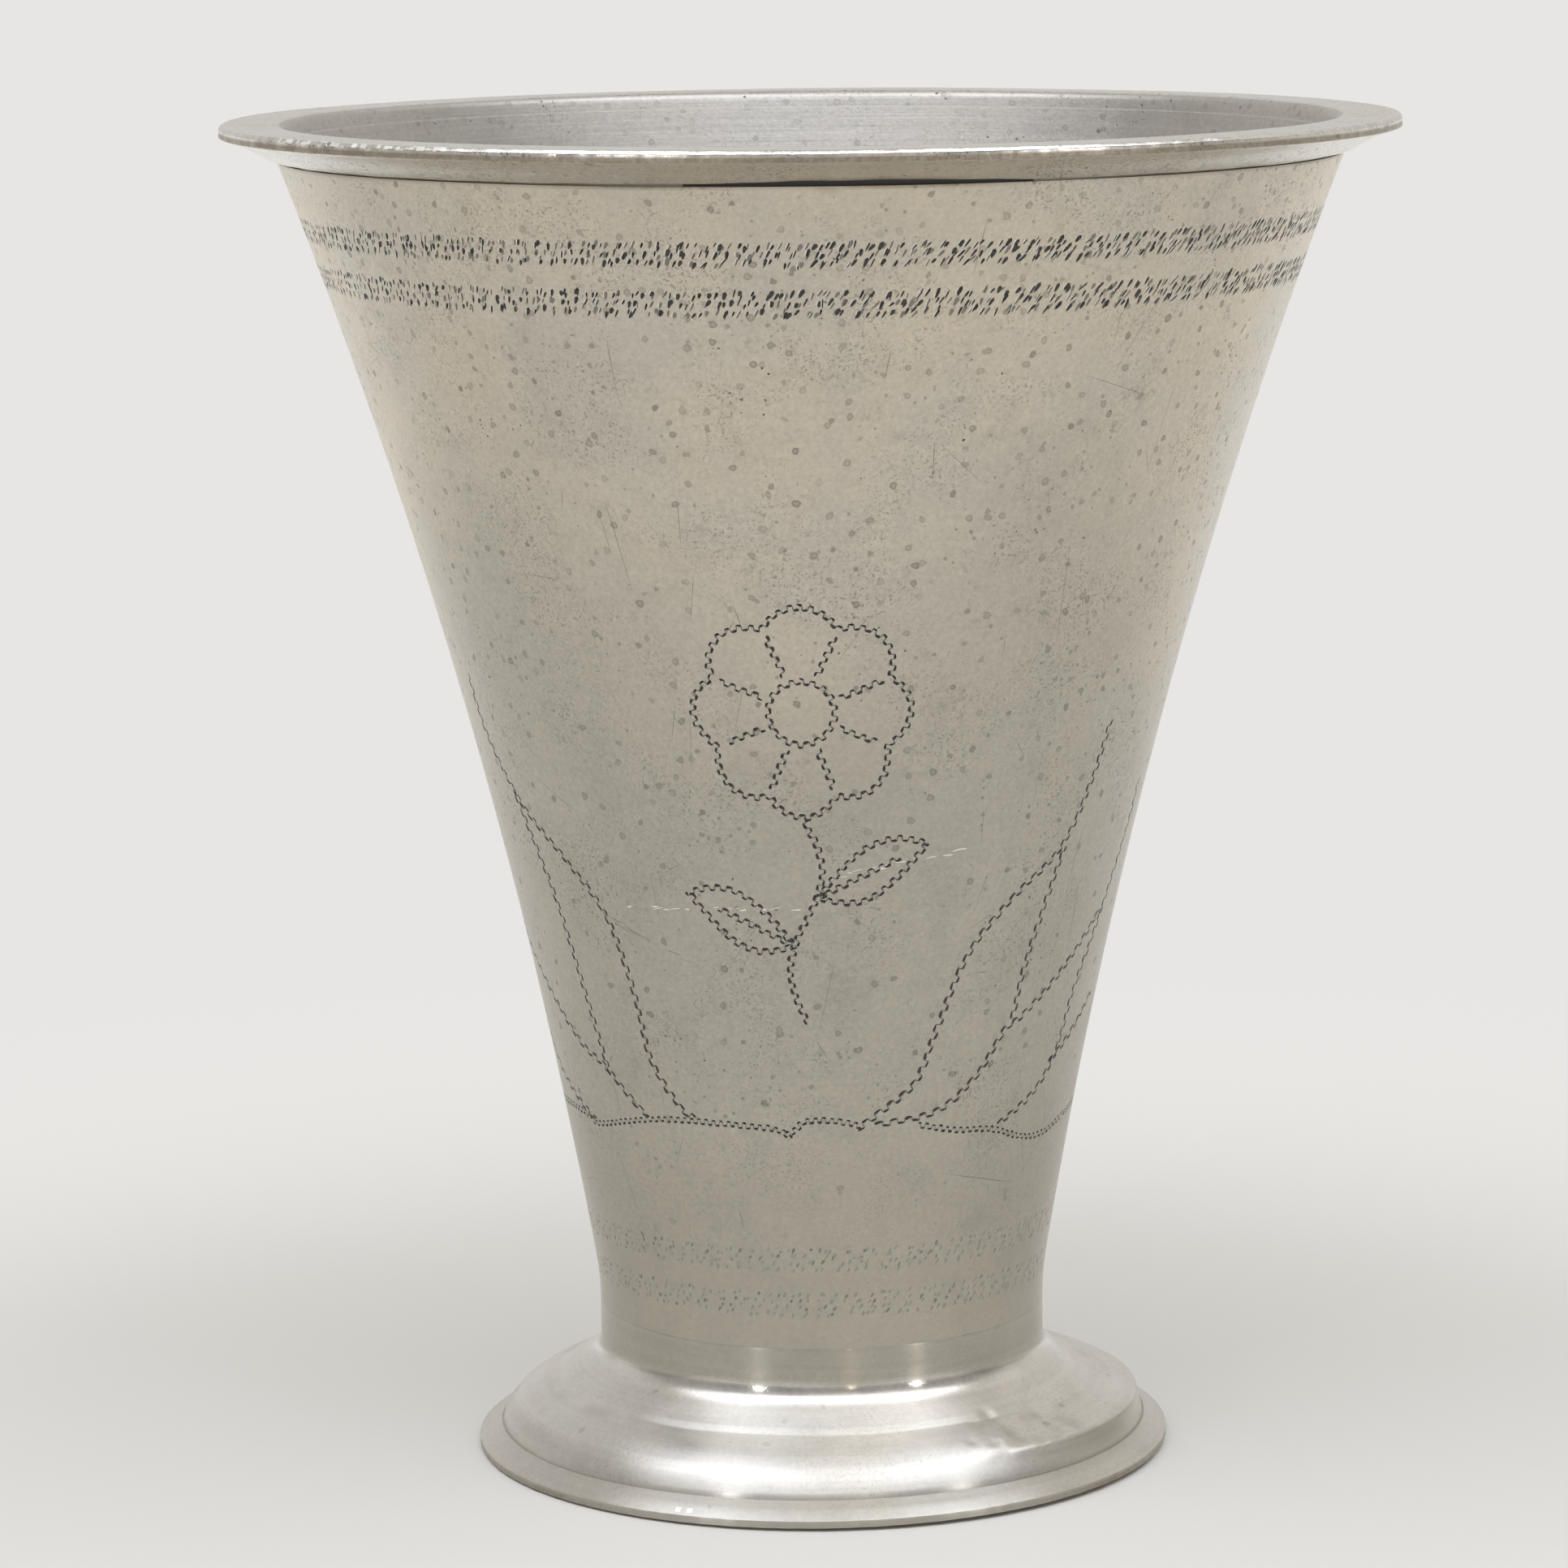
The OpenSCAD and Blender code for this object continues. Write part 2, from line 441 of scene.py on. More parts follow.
@dataclass(frozen=True)
class Solder(Finish):
    """Dull grey solder with a grainy, blotched skin, painted lighter than its own grey so that the shade in
    the thin joint lines looks no darker than the metal beside it.
    """

    name: str = "solder_grey"
    # Painted light: lighter greys that fill the shade of the joint lines.
    light: Colour = (0.62, 0.59, 0.53)
    dark: Colour = (0.54, 0.515, 0.46)
    roughness: float = 0.34
    metallic: float = 0.9
    blotch_scale: float = 420.0
    relief: float = 0.03

    def inputs(self, graph: Graph) -> dict[str, Any]:
        """Grey metal blotched by noise.

        Args:
            graph: Graph of the material.

        Returns:
            Values or links, by the name of the shader's socket.
        """
        at = graph.node("ShaderNodeTexCoord", {}, {}, "Object")
        blotch = graph.noise(at, self.blotch_scale, 4.0, 0.6)
        relief = {"Distance": self.relief * MM, "Height": blotch}
        return {
            "Base Color": graph.blend(blotch.step(0.35, 0.65), self.dark, self.light),
            "Metallic": self.metallic,
            "Roughness": blotch * 0.3 + self.roughness,
            "Normal": graph.node("ShaderNodeBump", {}, relief),
        }


def turned(radius: Array, height: Array, azimuth: Array) -> Array:
    """Points (r sin a, -r cos a, z): azimuth 0 is the front, and it grows to the right."""
    radius, height, azimuth = np.broadcast_arrays(radius, height, azimuth)
    return np.stack([radius * np.sin(azimuth), -radius * np.cos(azimuth), height], axis=-1)


def around(columns: int) -> Array:
    """Azimuths of evenly spaced columns, from the back, without its repeat."""
    return np.linspace(-math.pi, math.pi, columns, endpoint=False)


def lathed(section: Array, columns: int) -> Array:
    """Points of a section that is turned round the axis, row after row."""
    return turned(section[:, :1], section[:, 1:], around(columns)[None]).reshape(-1, 3)


def rounded(corners: Sequence[Corner], steps: int = 5) -> Array:
    """Closed outline whose corners are rounded.

    A corner with radius f becomes an arc that touches both of its edges: the arc's centre lies on
    the corner's bisector, f / sin(half angle) away, and the arc is swept by weights of sines.

    Args:
        corners: Radius, height and rounding of each corner, anticlockwise.
        steps: Segments in each arc.

    Returns:
        Points of the outline, shape (n, 2).
    """
    at = np.array([c[:2] for c in corners])
    before = np.roll(at, 1, axis=0) - at
    after = np.roll(at, -1, axis=0) - at
    before /= np.linalg.norm(before, axis=1, keepdims=True)
    after /= np.linalg.norm(after, axis=1, keepdims=True)
    part = np.linspace(0.0, 1.0, steps + 1)[:, None]
    pieces = []
    for place, u, v, size in zip(at, before, after, (c[2] for c in corners)):
        half = math.acos(max(-1.0, min(1.0, float(u @ v)))) / 2
        if size == 0 or half > STRAIGHT:
            pieces.append(place[None])
            continue
        centre = place + (u + v) / np.linalg.norm(u + v) * size / math.sin(half)
        start = place + u * size / math.tan(half) - centre
        end = place + v * size / math.tan(half) - centre
        sweep = math.pi - 2 * half
        swept = np.sin((1 - part) * sweep) * start + np.sin(part * sweep) * end
        pieces.append(centre + swept / math.sin(sweep))
    return np.concatenate(pieces)


def filled(outline: Array, spacing: float) -> Array:
    """Closed outline with points added evenly on its straight lines.

    Args:
        outline: Points of the outline, shape (n, 2).
        spacing: The most that two points may be apart.

    Returns:
        Points of the fuller outline.
    """
    ends = np.roll(outline, -1, axis=0)
    counts = np.ceil(np.linalg.norm(ends - outline, axis=1) / spacing).astype(int).clip(1)
    first = np.repeat(np.arange(len(counts)), counts)
    part = (np.arange(counts.sum()) - np.repeat(np.cumsum(counts) - counts, counts)) / counts[first]
    return outline[first] + part[:, None] * (ends - outline)[first]


def arc(centre: Point, radius: float, start: float, end: float, steps: int) -> list[Corner]:
    """Points on a circle from one angle to another, in degrees from the outward radius, as sharp corners."""
    angles = np.radians(np.linspace(start, end, steps + 1))
    return [(centre[0] + radius * np.cos(a), centre[1] + radius * np.sin(a), 0.0) for a in angles]


def bell(value: Array, middle: float, width: float) -> Array:
    """Gaussian bump of height 1."""
    return np.exp(-(((value - middle) / width) ** 2))


def ease(value: Array, low: float, high: float) -> Array:
    """Smooth step from 0 at low to 1 at high."""
    part = np.clip((value - low) / (high - low), 0.0, 1.0)
    return part * part * (3 - 2 * part)


def ripple(azimuth: Array, along: Array, orders: tuple[int, int], count: int, seed: int) -> Array:
    """Sum of waves round the axis.

    Each wave is cos(order * azimuth + phase + tilt * along), and the sum is scaled to about -1 to 1.

    Args:
        azimuth: Angles round the axis.
        along: A second coordinate of the same shape, in millimetres.
        orders: Least and greatest number of waves in a turn.
        count: How many waves are summed.
        seed: Seed of their orders, phases and tilts.

    Returns:
        The sum.
    """
    rng = np.random.default_rng(seed)
    order = rng.integers(orders[0], orders[1] + 1, count)
    phase = rng.uniform(0, TURN, count)
    tilt = rng.normal(0, WAVE_TILT, count)
    azimuth, along = np.broadcast_arrays(azimuth, along)
    waves = np.cos(azimuth[..., None] * order + phase + along[..., None] * tilt)
    return waves.sum(-1) / math.sqrt(2 * count)


def ring_faces(rows: int, columns: int, closed: bool) -> Array:
    """Quads of a grid that is closed round the axis.

    Args:
        rows: Rows of the grid.
        columns: Points in a row.
        closed: Whether the profile is a loop, so that the last row joins the first.

    Returns:
        Corner indices, shape (n, 4).
    """
    row = np.arange(rows if closed else rows - 1)[:, None]
    this = row * columns
    above = (row + 1) % rows * columns
    column = np.arange(columns)[None]
    beside = (column + 1) % columns
    quads = [this + column, this + beside, above + beside, above + column]
    return np.stack(np.broadcast_arrays(*quads), axis=-1).reshape(-1, 4)


def fan(first: int, columns: int, pole: int) -> Array:
    """Triangles from a ring of points, which starts at this index, to its pole."""
    this = np.arange(columns)
    return np.stack([first + this, first + (this + 1) % columns, np.full(columns, pole)], axis=-1)


def make_piece(
    name: str,
    points: Array,
    faces: Sequence[Array],
    materials: Sequence[bpy.types.Material],
    slots: Optional[Array] = None,
    values: Optional[Mapping[str, Array]] = None,
) -> bpy.types.Object:
    """Put a surface into a mesh object that sits at the origin.

    Args:
        name: Name of the piece.
        points: Places in millimetres, shape (n, 3).
        faces: Arrays of corner indices; the faces of one array have as many corners each.
        materials: Materials of the mesh.
        slots: Material index of each face; faces of a cut are shaded flat.
        values: Named point attributes that the finishes read, each from 0 to 1.

    Returns:
        The object, linked to the scene.
    """
    mesh = bpy.data.meshes.new(name)
    corners = np.concatenate([f.ravel() for f in faces]).astype(np.int32)
    sizes = np.concatenate([np.full(len(f), f.shape[1]) for f in faces])
    starts = (np.cumsum(sizes) - sizes).astype(np.int32)
    mesh.vertices.add(len(points))
    mesh.vertices.foreach_set("co", (points * MM).astype(np.float32).ravel())
    mesh.loops.add(len(corners))
    mesh.loops.foreach_set("vertex_index", corners)
    mesh.polygons.add(len(sizes))
    mesh.polygons.foreach_set("loop_start", starts)
    if slots is not None:
        mesh.polygons.foreach_set("material_index", slots.astype(np.int32))
    smooth = np.ones(len(sizes), bool) if slots is None else slots < Cut.DARK.value
    mesh.polygons.foreach_set("use_smooth", smooth)
    for key, value in (values or {}).items():
        layer = mesh.attributes.new(key, "FLOAT", "POINT")
        layer.data.foreach_set("value", np.clip(value, 0, 1).astype(np.float32).ravel())
    for material in materials:
        mesh.materials.append(material)
    mesh.update(calc_edges=True)
    mesh.validate()
    mesh.set_sharp_from_angle(angle=SHARP_ANGLE)
    made = bpy.data.objects.new(name, mesh)
    bpy.context.scene.collection.objects.link(made)
    return made


def seat(piece: bpy.types.Object, slot: str, *nodes: str) -> None:
    """Tie a piece to the frame.

    Args:
        piece: The finished piece.
        slot: Its material slot in the record; not used.
        nodes: The solids that it stands for.
    """
    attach(piece, BODY)
    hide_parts(*nodes)
    LOG.info("%s: %d faces, stands for %s", piece.name, len(piece.data.polygons), ", ".join(nodes))


@dataclass(frozen=True)
class WallCurve:
    """The wall's section: a short arc that leaves the waist upright, then a long flare to the mouth."""

    waist_r: float = 28.5
    joint_z: float = 18.9
    waist_curve_r: float = 35.0
    flare_angle: float = math.radians(9.3)
    mouth_r: float = 66.7
    shoulder_z: float = 165.8
    wall_t: float = 2.2

    def _arcs(self) -> tuple[Array, Array, float]:
        """Both arcs, from their common tangent and the mouth.

        Returns:
            Centre of the waist's arc, centre of the flare's arc, and the flare's radius.
        """
        turn = np.array([math.cos(self.flare_angle), -math.sin(self.flare_angle)])
        waist = np.array([self.waist_r + self.waist_curve_r, self.joint_z])
        touch = waist - self.waist_curve_r * turn
        chord = np.array([self.mouth_r, self.shoulder_z]) - touch
        flare_r = float(chord @ chord / (2 * chord @ turn))
        return waist, touch + flare_r * turn, flare_r

    def radius(self, z: Array, inwards: float = 0.0) -> Array:
        """Radius of the wall: the arc's centre less half of the arc's chord at that height.

        Args:
            z: Heights.
            inwards: How far the outside is moved inwards.

        Returns:
            The radius at each height.
        """
        z = np.asarray(z, float)
        waist, flare, flare_r = self._arcs()
        switch = self.joint_z + (self.waist_curve_r + inwards) * math.sin(self.flare_angle)
        rise = np.minimum(z, switch) - waist[1]
        low = waist[0] - np.sqrt((self.waist_curve_r + inwards) ** 2 - rise**2)
        high = flare[0] - np.sqrt((flare_r + inwards) ** 2 - (z - flare[1]) ** 2)
        return np.where(z < switch, low, high)

    def inside(self, z: Array) -> Array:
        """Radius of the wall's inside at height z."""
        return self.radius(z, self.wall_t)

    def lean(self, z: Array) -> Array:
        """Angle of the wall from upright at height z: arctangent of the radius's slope."""
        return np.arctan((self.radius(z + SLOPE_STEP) - self.radius(z - SLOPE_STEP)) / (2 * SLOPE_STEP))


@dataclass
class Marks:
    """Cuts in the wall: outlines and keels as azimuth and height, with each cut's depth and finish."""

    outline: Array
    keel: Array
    depth: Array
    finish: Array

    @staticmethod
    def joined(parts: Sequence["Marks"]) -> "Marks":
        """All cuts of several sets as one set."""
        names = ("outline", "keel", "depth", "finish")
        return Marks(*(np.concatenate([getattr(p, n) for p in parts]) for n in names))

    def chosen(self, keep: Array) -> "Marks":
        """The cuts for which keep is true."""
        return Marks(self.outline[keep], self.keel[keep], self.depth[keep], self.finish[keep])


@dataclass(frozen=True)
class Graver:
    """Lays almond-shaped cuts on the wall's unrolled surface."""

    curve: WallCurve
    sides: int = 6
    blunt: float = 0.35
    keel: Point = (0.27, -0.2)

    def laid(self, at: Array, right: Array, up: Array) -> Array:
        """Places that lie this far to the right of a place and up the wall from it.

        A sideways length is divided by the radius there, and a length up the wall is multiplied
        by the cosine of the wall's lean.

        Args:
            at: Azimuth and height.
            right: Lengths to the right.
            up: Lengths up the wall.

        Returns:
            Azimuth and height of the places.
        """
        azimuth, z = at[..., 0], at[..., 1]
        climb = up * np.cos(self.curve.lean(z))
        return np.stack([azimuth + right / self.curve.radius(z), z + climb], axis=-1)

    def cuts(
        self, centre: Array, angle: Array, length: Array, width: Array, depth: Array, finish: Array
    ) -> Marks:
        """Almond cuts.

        An outline is (w/2 sin t (1 + blunt cos t), l/2 cos t) for t round a circle, turned by its
        angle and laid on the wall. The keel is two points on the long axis.

        Args:
            centre: Azimuth and height of each cut.
            angle: Its long axis, in radians from upright towards the right.
            length: Its length.
            width: Its width.
            depth: Depth of its keel.
            finish: Value of its Cut.

        Returns:
            The cuts.
        """
        t = np.linspace(0, TURN, self.sides, endpoint=False)
        across = np.sin(t) * (1 + self.blunt * np.cos(t)) / 2
        along = np.cos(t) / 2
        u = np.concatenate([across * width[:, None], np.zeros((len(width), 2))], axis=1)
        v = np.concatenate([along * length[:, None], length[:, None] * self.keel], axis=1)
        right = u * np.cos(angle)[:, None] + v * np.sin(angle)[:, None]
        up = v * np.cos(angle)[:, None] - u * np.sin(angle)[:, None]
        place = self.laid(centre[:, None], right, up)
        return Marks(place[:, : self.sides], place[:, self.sides :], depth, finish)


@dataclass(frozen=True)
class PunchedBand:
    """A band of small leaning punch marks all round the wall, in loose rows."""

    low: float
    high: float
    marks: int
    length: Point = (0.8, 1.4)
    width: Point = (0.2, 0.6)
    depth: float = 0.15
    faint: float = 0.34
    finish: Cut = Cut.DARK
    fainter: Cut = Cut.WORN
    rows: int = 3
    # Share of marks with a painted highlight beside them.
    burr: float = 0.3
    seed: int = 1

    stagger: float = 0.37
    play: Point = (0.8, 0.3)
    lean: float = 27.0
    lean_more: float = 8.0
    lean_spread: float = 8.0
    burr_glint_w: float = 0.11
    burr_glint_gap: float = 0.05

    @classmethod
    def rubbed(cls, low: float, high: float, marks: int, faint: float, seed: int) -> "PunchedBand":
        """A band that is worn almost smooth: smaller marks, no painted highlight beside them, and most of
        them faint.

        Args:
            low: Height of its lower edge.
            high: Height of its upper edge.
            marks: Number of marks.
            faint: Share of the faintest marks.
            seed: Seed of their scatter.

        Returns:
            The band.
        """
        small = {"length": (0.45, 0.9), "width": (0.26, 0.44), "depth": 0.03, "rows": 4, "burr": 0.0}
        return cls(low, high, marks, faint=faint, finish=Cut.WORN, fainter=Cut.FAINT, seed=seed, **small)

    def cut(self, graver: Graver) -> Marks:
        """Scatter the marks: even steps round each row with much play, leaning more on the right side.

        A share of them has a thin bright strip along its left edge: a painted highlight where a raised edge
        would catch the light.

        Args:
            graver: Lays the cuts on the wall.

        Returns:
            The band's cuts.
        """
        rng = np.random.default_rng(self.seed)
        count = self.marks
        station, row = np.divmod(np.arange(count), self.rows)
        step = TURN * self.rows / count
        play_az, play_z = self.play
        azimuth = step * (station + self.stagger * row + rng.uniform(-play_az, play_az, count)) - math.pi
        place = row + 0.5 + rng.uniform(-play_z, play_z, count)
        height = self.low + (self.high - self.low) * place / self.rows
        spread = rng.normal(0, self.lean_spread, count)
        lean = np.radians(self.lean + self.lean_more * np.sin(azimuth) + spread)
        length = rng.uniform(*self.length, count) * (1 + 0.2 * np.sin(azimuth))
        width = self.width[0] + (self.width[1] - self.width[0]) * rng.uniform(size=count) ** 1.6
        worn = rng.uniform(size=count) < self.faint
        finish = np.where(worn, self.fainter.value, self.finish.value)
        depth = self.depth * np.where(worn, 0.6, 1.0) * rng.uniform(0.7, 1.1, count)
        centre = np.stack([azimuth, height], axis=-1)
        marks = graver.cuts(centre, lean, length, width, depth, finish)
        # Painted highlight: a thin bright strip beside a share of the marks.
        lit = rng.uniform(size=count) < self.burr
        aside = width / 2 + self.burr_glint_gap
        beside = graver.laid(centre, -aside * np.cos(lean), aside * np.sin(lean))[lit]
        thin = np.full(len(beside), self.burr_glint_w)
        bright = np.full(len(beside), Cut.SCUFF_AND_GLINT.value)
        burr_glints = graver.cuts(beside, lean[lit], length[lit] * 0.8, thin, thin * 0.1, bright)
        return Marks.joined([marks, burr_glints])


@dataclass(frozen=True)
class WriggleLine:
    """A line rocked along with a flat graver: strokes that alternate beside it, with thin cuts between."""

    points: Line
    pitch: float = 0.95
    swing: float = 0.30
    stroke: float = 1.15
    width: float = 0.42
    lean: float = math.radians(8)
    link: float = 0.42
    depth: float = 0.15
    seed: int = 1

    spline_steps: int = 24
    weak_length: float = 0.88
    weak_width: float = 0.82
    link_from: float = 0.42
    link_over: float = 1.15

    def _walk(self, curve: WallCurve) -> tuple[Array, Array]:
        """Even stations on a smooth curve through the points.

        The curve is a Catmull-Rom spline; its length is measured on the wall, where a step is
        radius times azimuth across and height over the cosine of the lean along.

        Args:
            curve: The wall's section.

        Returns:
            Azimuth and height of each station, and the direction there from upright to the right.
        """
        knots = np.array(self.points, float)
        knots[:, 0] = np.radians(knots[:, 0])
        knots = np.concatenate([2 * knots[:1] - knots[1:2], knots, 2 * knots[-1:] - knots[-2:-1]])
        t = np.linspace(0, 1, self.spline_steps, endpoint=False)[None, :, None]
        a, b, c, d = (knots[i : len(knots) - 3 + i, None] for i in range(4))
        square, cube = 2 * a - 5 * b + 4 * c - d, 3 * b - a - 3 * c + d
        spline = 0.5 * (2 * b + (c - a) * t + square * t**2 + cube * t**3)
        path = np.concatenate([spline.reshape(-1, 2), knots[-2:-1]])
        flat = np.diff(path, axis=0)
        middle = (path[1:, 1] + path[:-1, 1]) / 2
        flat[:, 0] *= curve.radius(middle)
        flat[:, 1] /= np.cos(curve.lean(middle))
        run = np.concatenate([[0], np.cumsum(np.hypot(*flat.T))])
        stations = np.arange(0, run[-1], self.pitch)
        heading = np.unwrap(np.arctan2(flat[:, 0], flat[:, 1]))
        spots = np.stack([np.interp(stations, run, path[:, i]) for i in range(2)], axis=-1)
        return spots, np.interp(stations, (run[1:] + run[:-1]) / 2, heading)

    def cut(self, graver: Graver) -> Marks:
        """Lay the strokes, weaker on the left side of the line, and the thin cuts between them.

        Args:
            graver: Lays the cuts on the wall.

        Returns:
            The line's cuts.
        """
        rng = np.random.default_rng(self.seed)
        spots, heading = self._walk(graver.curve)
        count = len(spots)
        side = np.where(np.arange(count) % 2, 1.0, -1.0)
        sway = self.swing * rng.uniform(0.8, 1.2, count) * side
        centre = graver.laid(spots, sway * np.cos(heading), -sway * np.sin(heading))
        angle = heading - side * self.lean + rng.normal(0, 0.06, count)
        length = self.stroke * rng.uniform(0.88, 1.15, count) * np.where(side > 0, 1.0, self.weak_length)
        width = self.width * rng.uniform(0.8, 1.2, count) * np.where(side > 0, 1.0, self.weak_width)
        depth = self.depth * rng.uniform(0.8, 1.15, count)
        dark = np.full(count, Cut.DARK.value)
        strokes = graver.cuts(centre, angle, length, width, depth, dark)
        reach = np.stack([np.sin(angle), np.cos(angle)]) * length * self.link_from
        begin = graver.laid(centre, -reach[0], -reach[1])[1:]
        end = graver.laid(centre, *reach)[:-1]
        middle = (begin + end) / 2
        span = (begin - end) * np.stack([graver.curve.radius(middle[:, 1]), np.ones(count - 1)], axis=-1)
        thin = graver.cuts(
            middle,
            np.arctan2(span[:, 0], span[:, 1]),
            np.hypot(*span.T) * self.link_over,
            np.full(count - 1, self.width * self.link),
            depth[1:] * 0.5,
            np.full(count - 1, Cut.WORN.value),
        )
        return Marks.joined([strokes, thin])


@dataclass(frozen=True)
class PitScatter:
    """Small corrosion pits on the wall, in loose clusters and singly."""

    low: float = 46.0
    high: float = 164.5
    clusters: int = 62
    per_cluster: int = 14
    singles: int = 110
    spread: float = 3.0
    size: Point = (0.12, 0.34)
    depth_share: float = 4 / 15
    dark_share: float = 0.1
    lower_margin: float = 4.0
    seed: int = 61

    def cut(self, graver: Graver) -> Marks:
        """Scatter the pits: clusters are normal clouds round random places, more of them higher up.

        Args:
            graver: Lays the cuts on the wall.

        Returns:
            The pits.
        """
        rng = np.random.default_rng(self.seed)
        count = self.clusters + self.singles
        azimuth = rng.uniform(-math.pi, math.pi, count)
        height = self.low + (self.high - self.low) * np.sqrt(rng.uniform(size=count))
        place = np.stack([azimuth, height], axis=-1)
        heart = np.repeat(place[: self.clusters], self.per_cluster, axis=0)
        around_it = rng.normal(0, self.spread, (2, len(heart)))
        place = np.concatenate([graver.laid(heart, *around_it), place[self.clusters :]])
        place = place[(place[:, 1] > self.low - self.lower_margin) & (place[:, 1] < self.high)]
        total = len(place)
        size = self.size[0] + (self.size[1] - self.size[0]) * rng.uniform(size=total) ** 2.2
        finish = np.where(rng.uniform(size=total) < self.dark_share, Cut.DARK.value, Cut.WORN.value)
        length = size * rng.uniform(1.0, 1.5, total)
        angle = rng.uniform(0, math.pi, total)
        return graver.cuts(place, angle, length, size, size * self.depth_share, finish)


@dataclass(frozen=True)
class Scratches:
    """Fine straight scratches all over the wall, most of them steep."""

    low: float = 34.0
    high: float = 160.0
    count: int = 210
    length: Point = (3.0, 17.0)
    width: Point = (0.05, 0.10)
    depth: float = 0.012
    steep_share: float = 0.72
    steep_spread: float = 0.32
    slant: Point = (0.9, 2.2)
    bounds: Point = (22.0, 164.0)
    seed: int = 81

    def cut(self, graver: Graver) -> Marks:
        """Scatter thin shallow cuts, each short enough to stay between the bounds.

        Args:
            graver: Lays the cuts on the wall.

        Returns:
            The scratches.
        """
        rng = np.random.default_rng(self.seed)
        azimuth = rng.uniform(-math.pi, math.pi, self.count)
        height = rng.uniform(self.low, self.high, self.count)
        steep = rng.normal(0, self.steep_spread, self.count)
        upright = rng.uniform(size=self.count) < self.steep_share
        angle = np.where(upright, steep, rng.uniform(*self.slant, self.count))
        length = self.length[0] + (self.length[1] - self.length[0]) * rng.uniform(size=self.count) ** 2
        length = np.minimum(length, 1.6 * np.minimum(height - self.bounds[0], self.bounds[1] - height))
        width = rng.uniform(*self.width, self.count)
        finish = np.full(self.count, Cut.WORN.value)
        place = np.stack([azimuth, height], axis=-1)
        return graver.cuts(place, angle, length, width, np.full(self.count, self.depth), finish)


@dataclass(frozen=True)
class Scuff:
    """A broken line of scuffs across the wall."""

    start: Point
    end: Point
    count: int
    length: float = 1.3
    width: float = 0.16
    finish: Cut = Cut.SCUFF_AND_GLINT
    depth: float = 0.012
    play: Point = (0.15, 0.18)
    turn_play: float = 0.12
    seed: int = 71

    def cut(self, graver: Graver) -> Marks:
        """Lay thin shallow cuts along the line, with play.

        Args:
            graver: Lays the cuts on the wall.

        Returns:
            The scuffs.
        """
        rng = np.random.default_rng(self.seed)
        part = np.sort(rng.uniform(size=self.count))[:, None]
        start, end = np.array(self.start), np.array(self.end)
        place = start + part * (end - start) + rng.normal(0, self.play, (self.count, 2))
        place[:, 0] = np.radians(place[:, 0])
        across = np.radians(end[0] - start[0]) * graver.curve.radius(start[1])
        angle = math.atan2(across, end[1] - start[1]) + rng.normal(0, self.turn_play, self.count)
        length = self.length * rng.uniform(0.4, 1.3, self.count)
        width = self.width * rng.uniform(0.6, 1.4, self.count)
        finish = np.full(self.count, self.finish.value)
        return graver.cuts(place, angle, length, width, np.full(self.count, self.depth), finish)


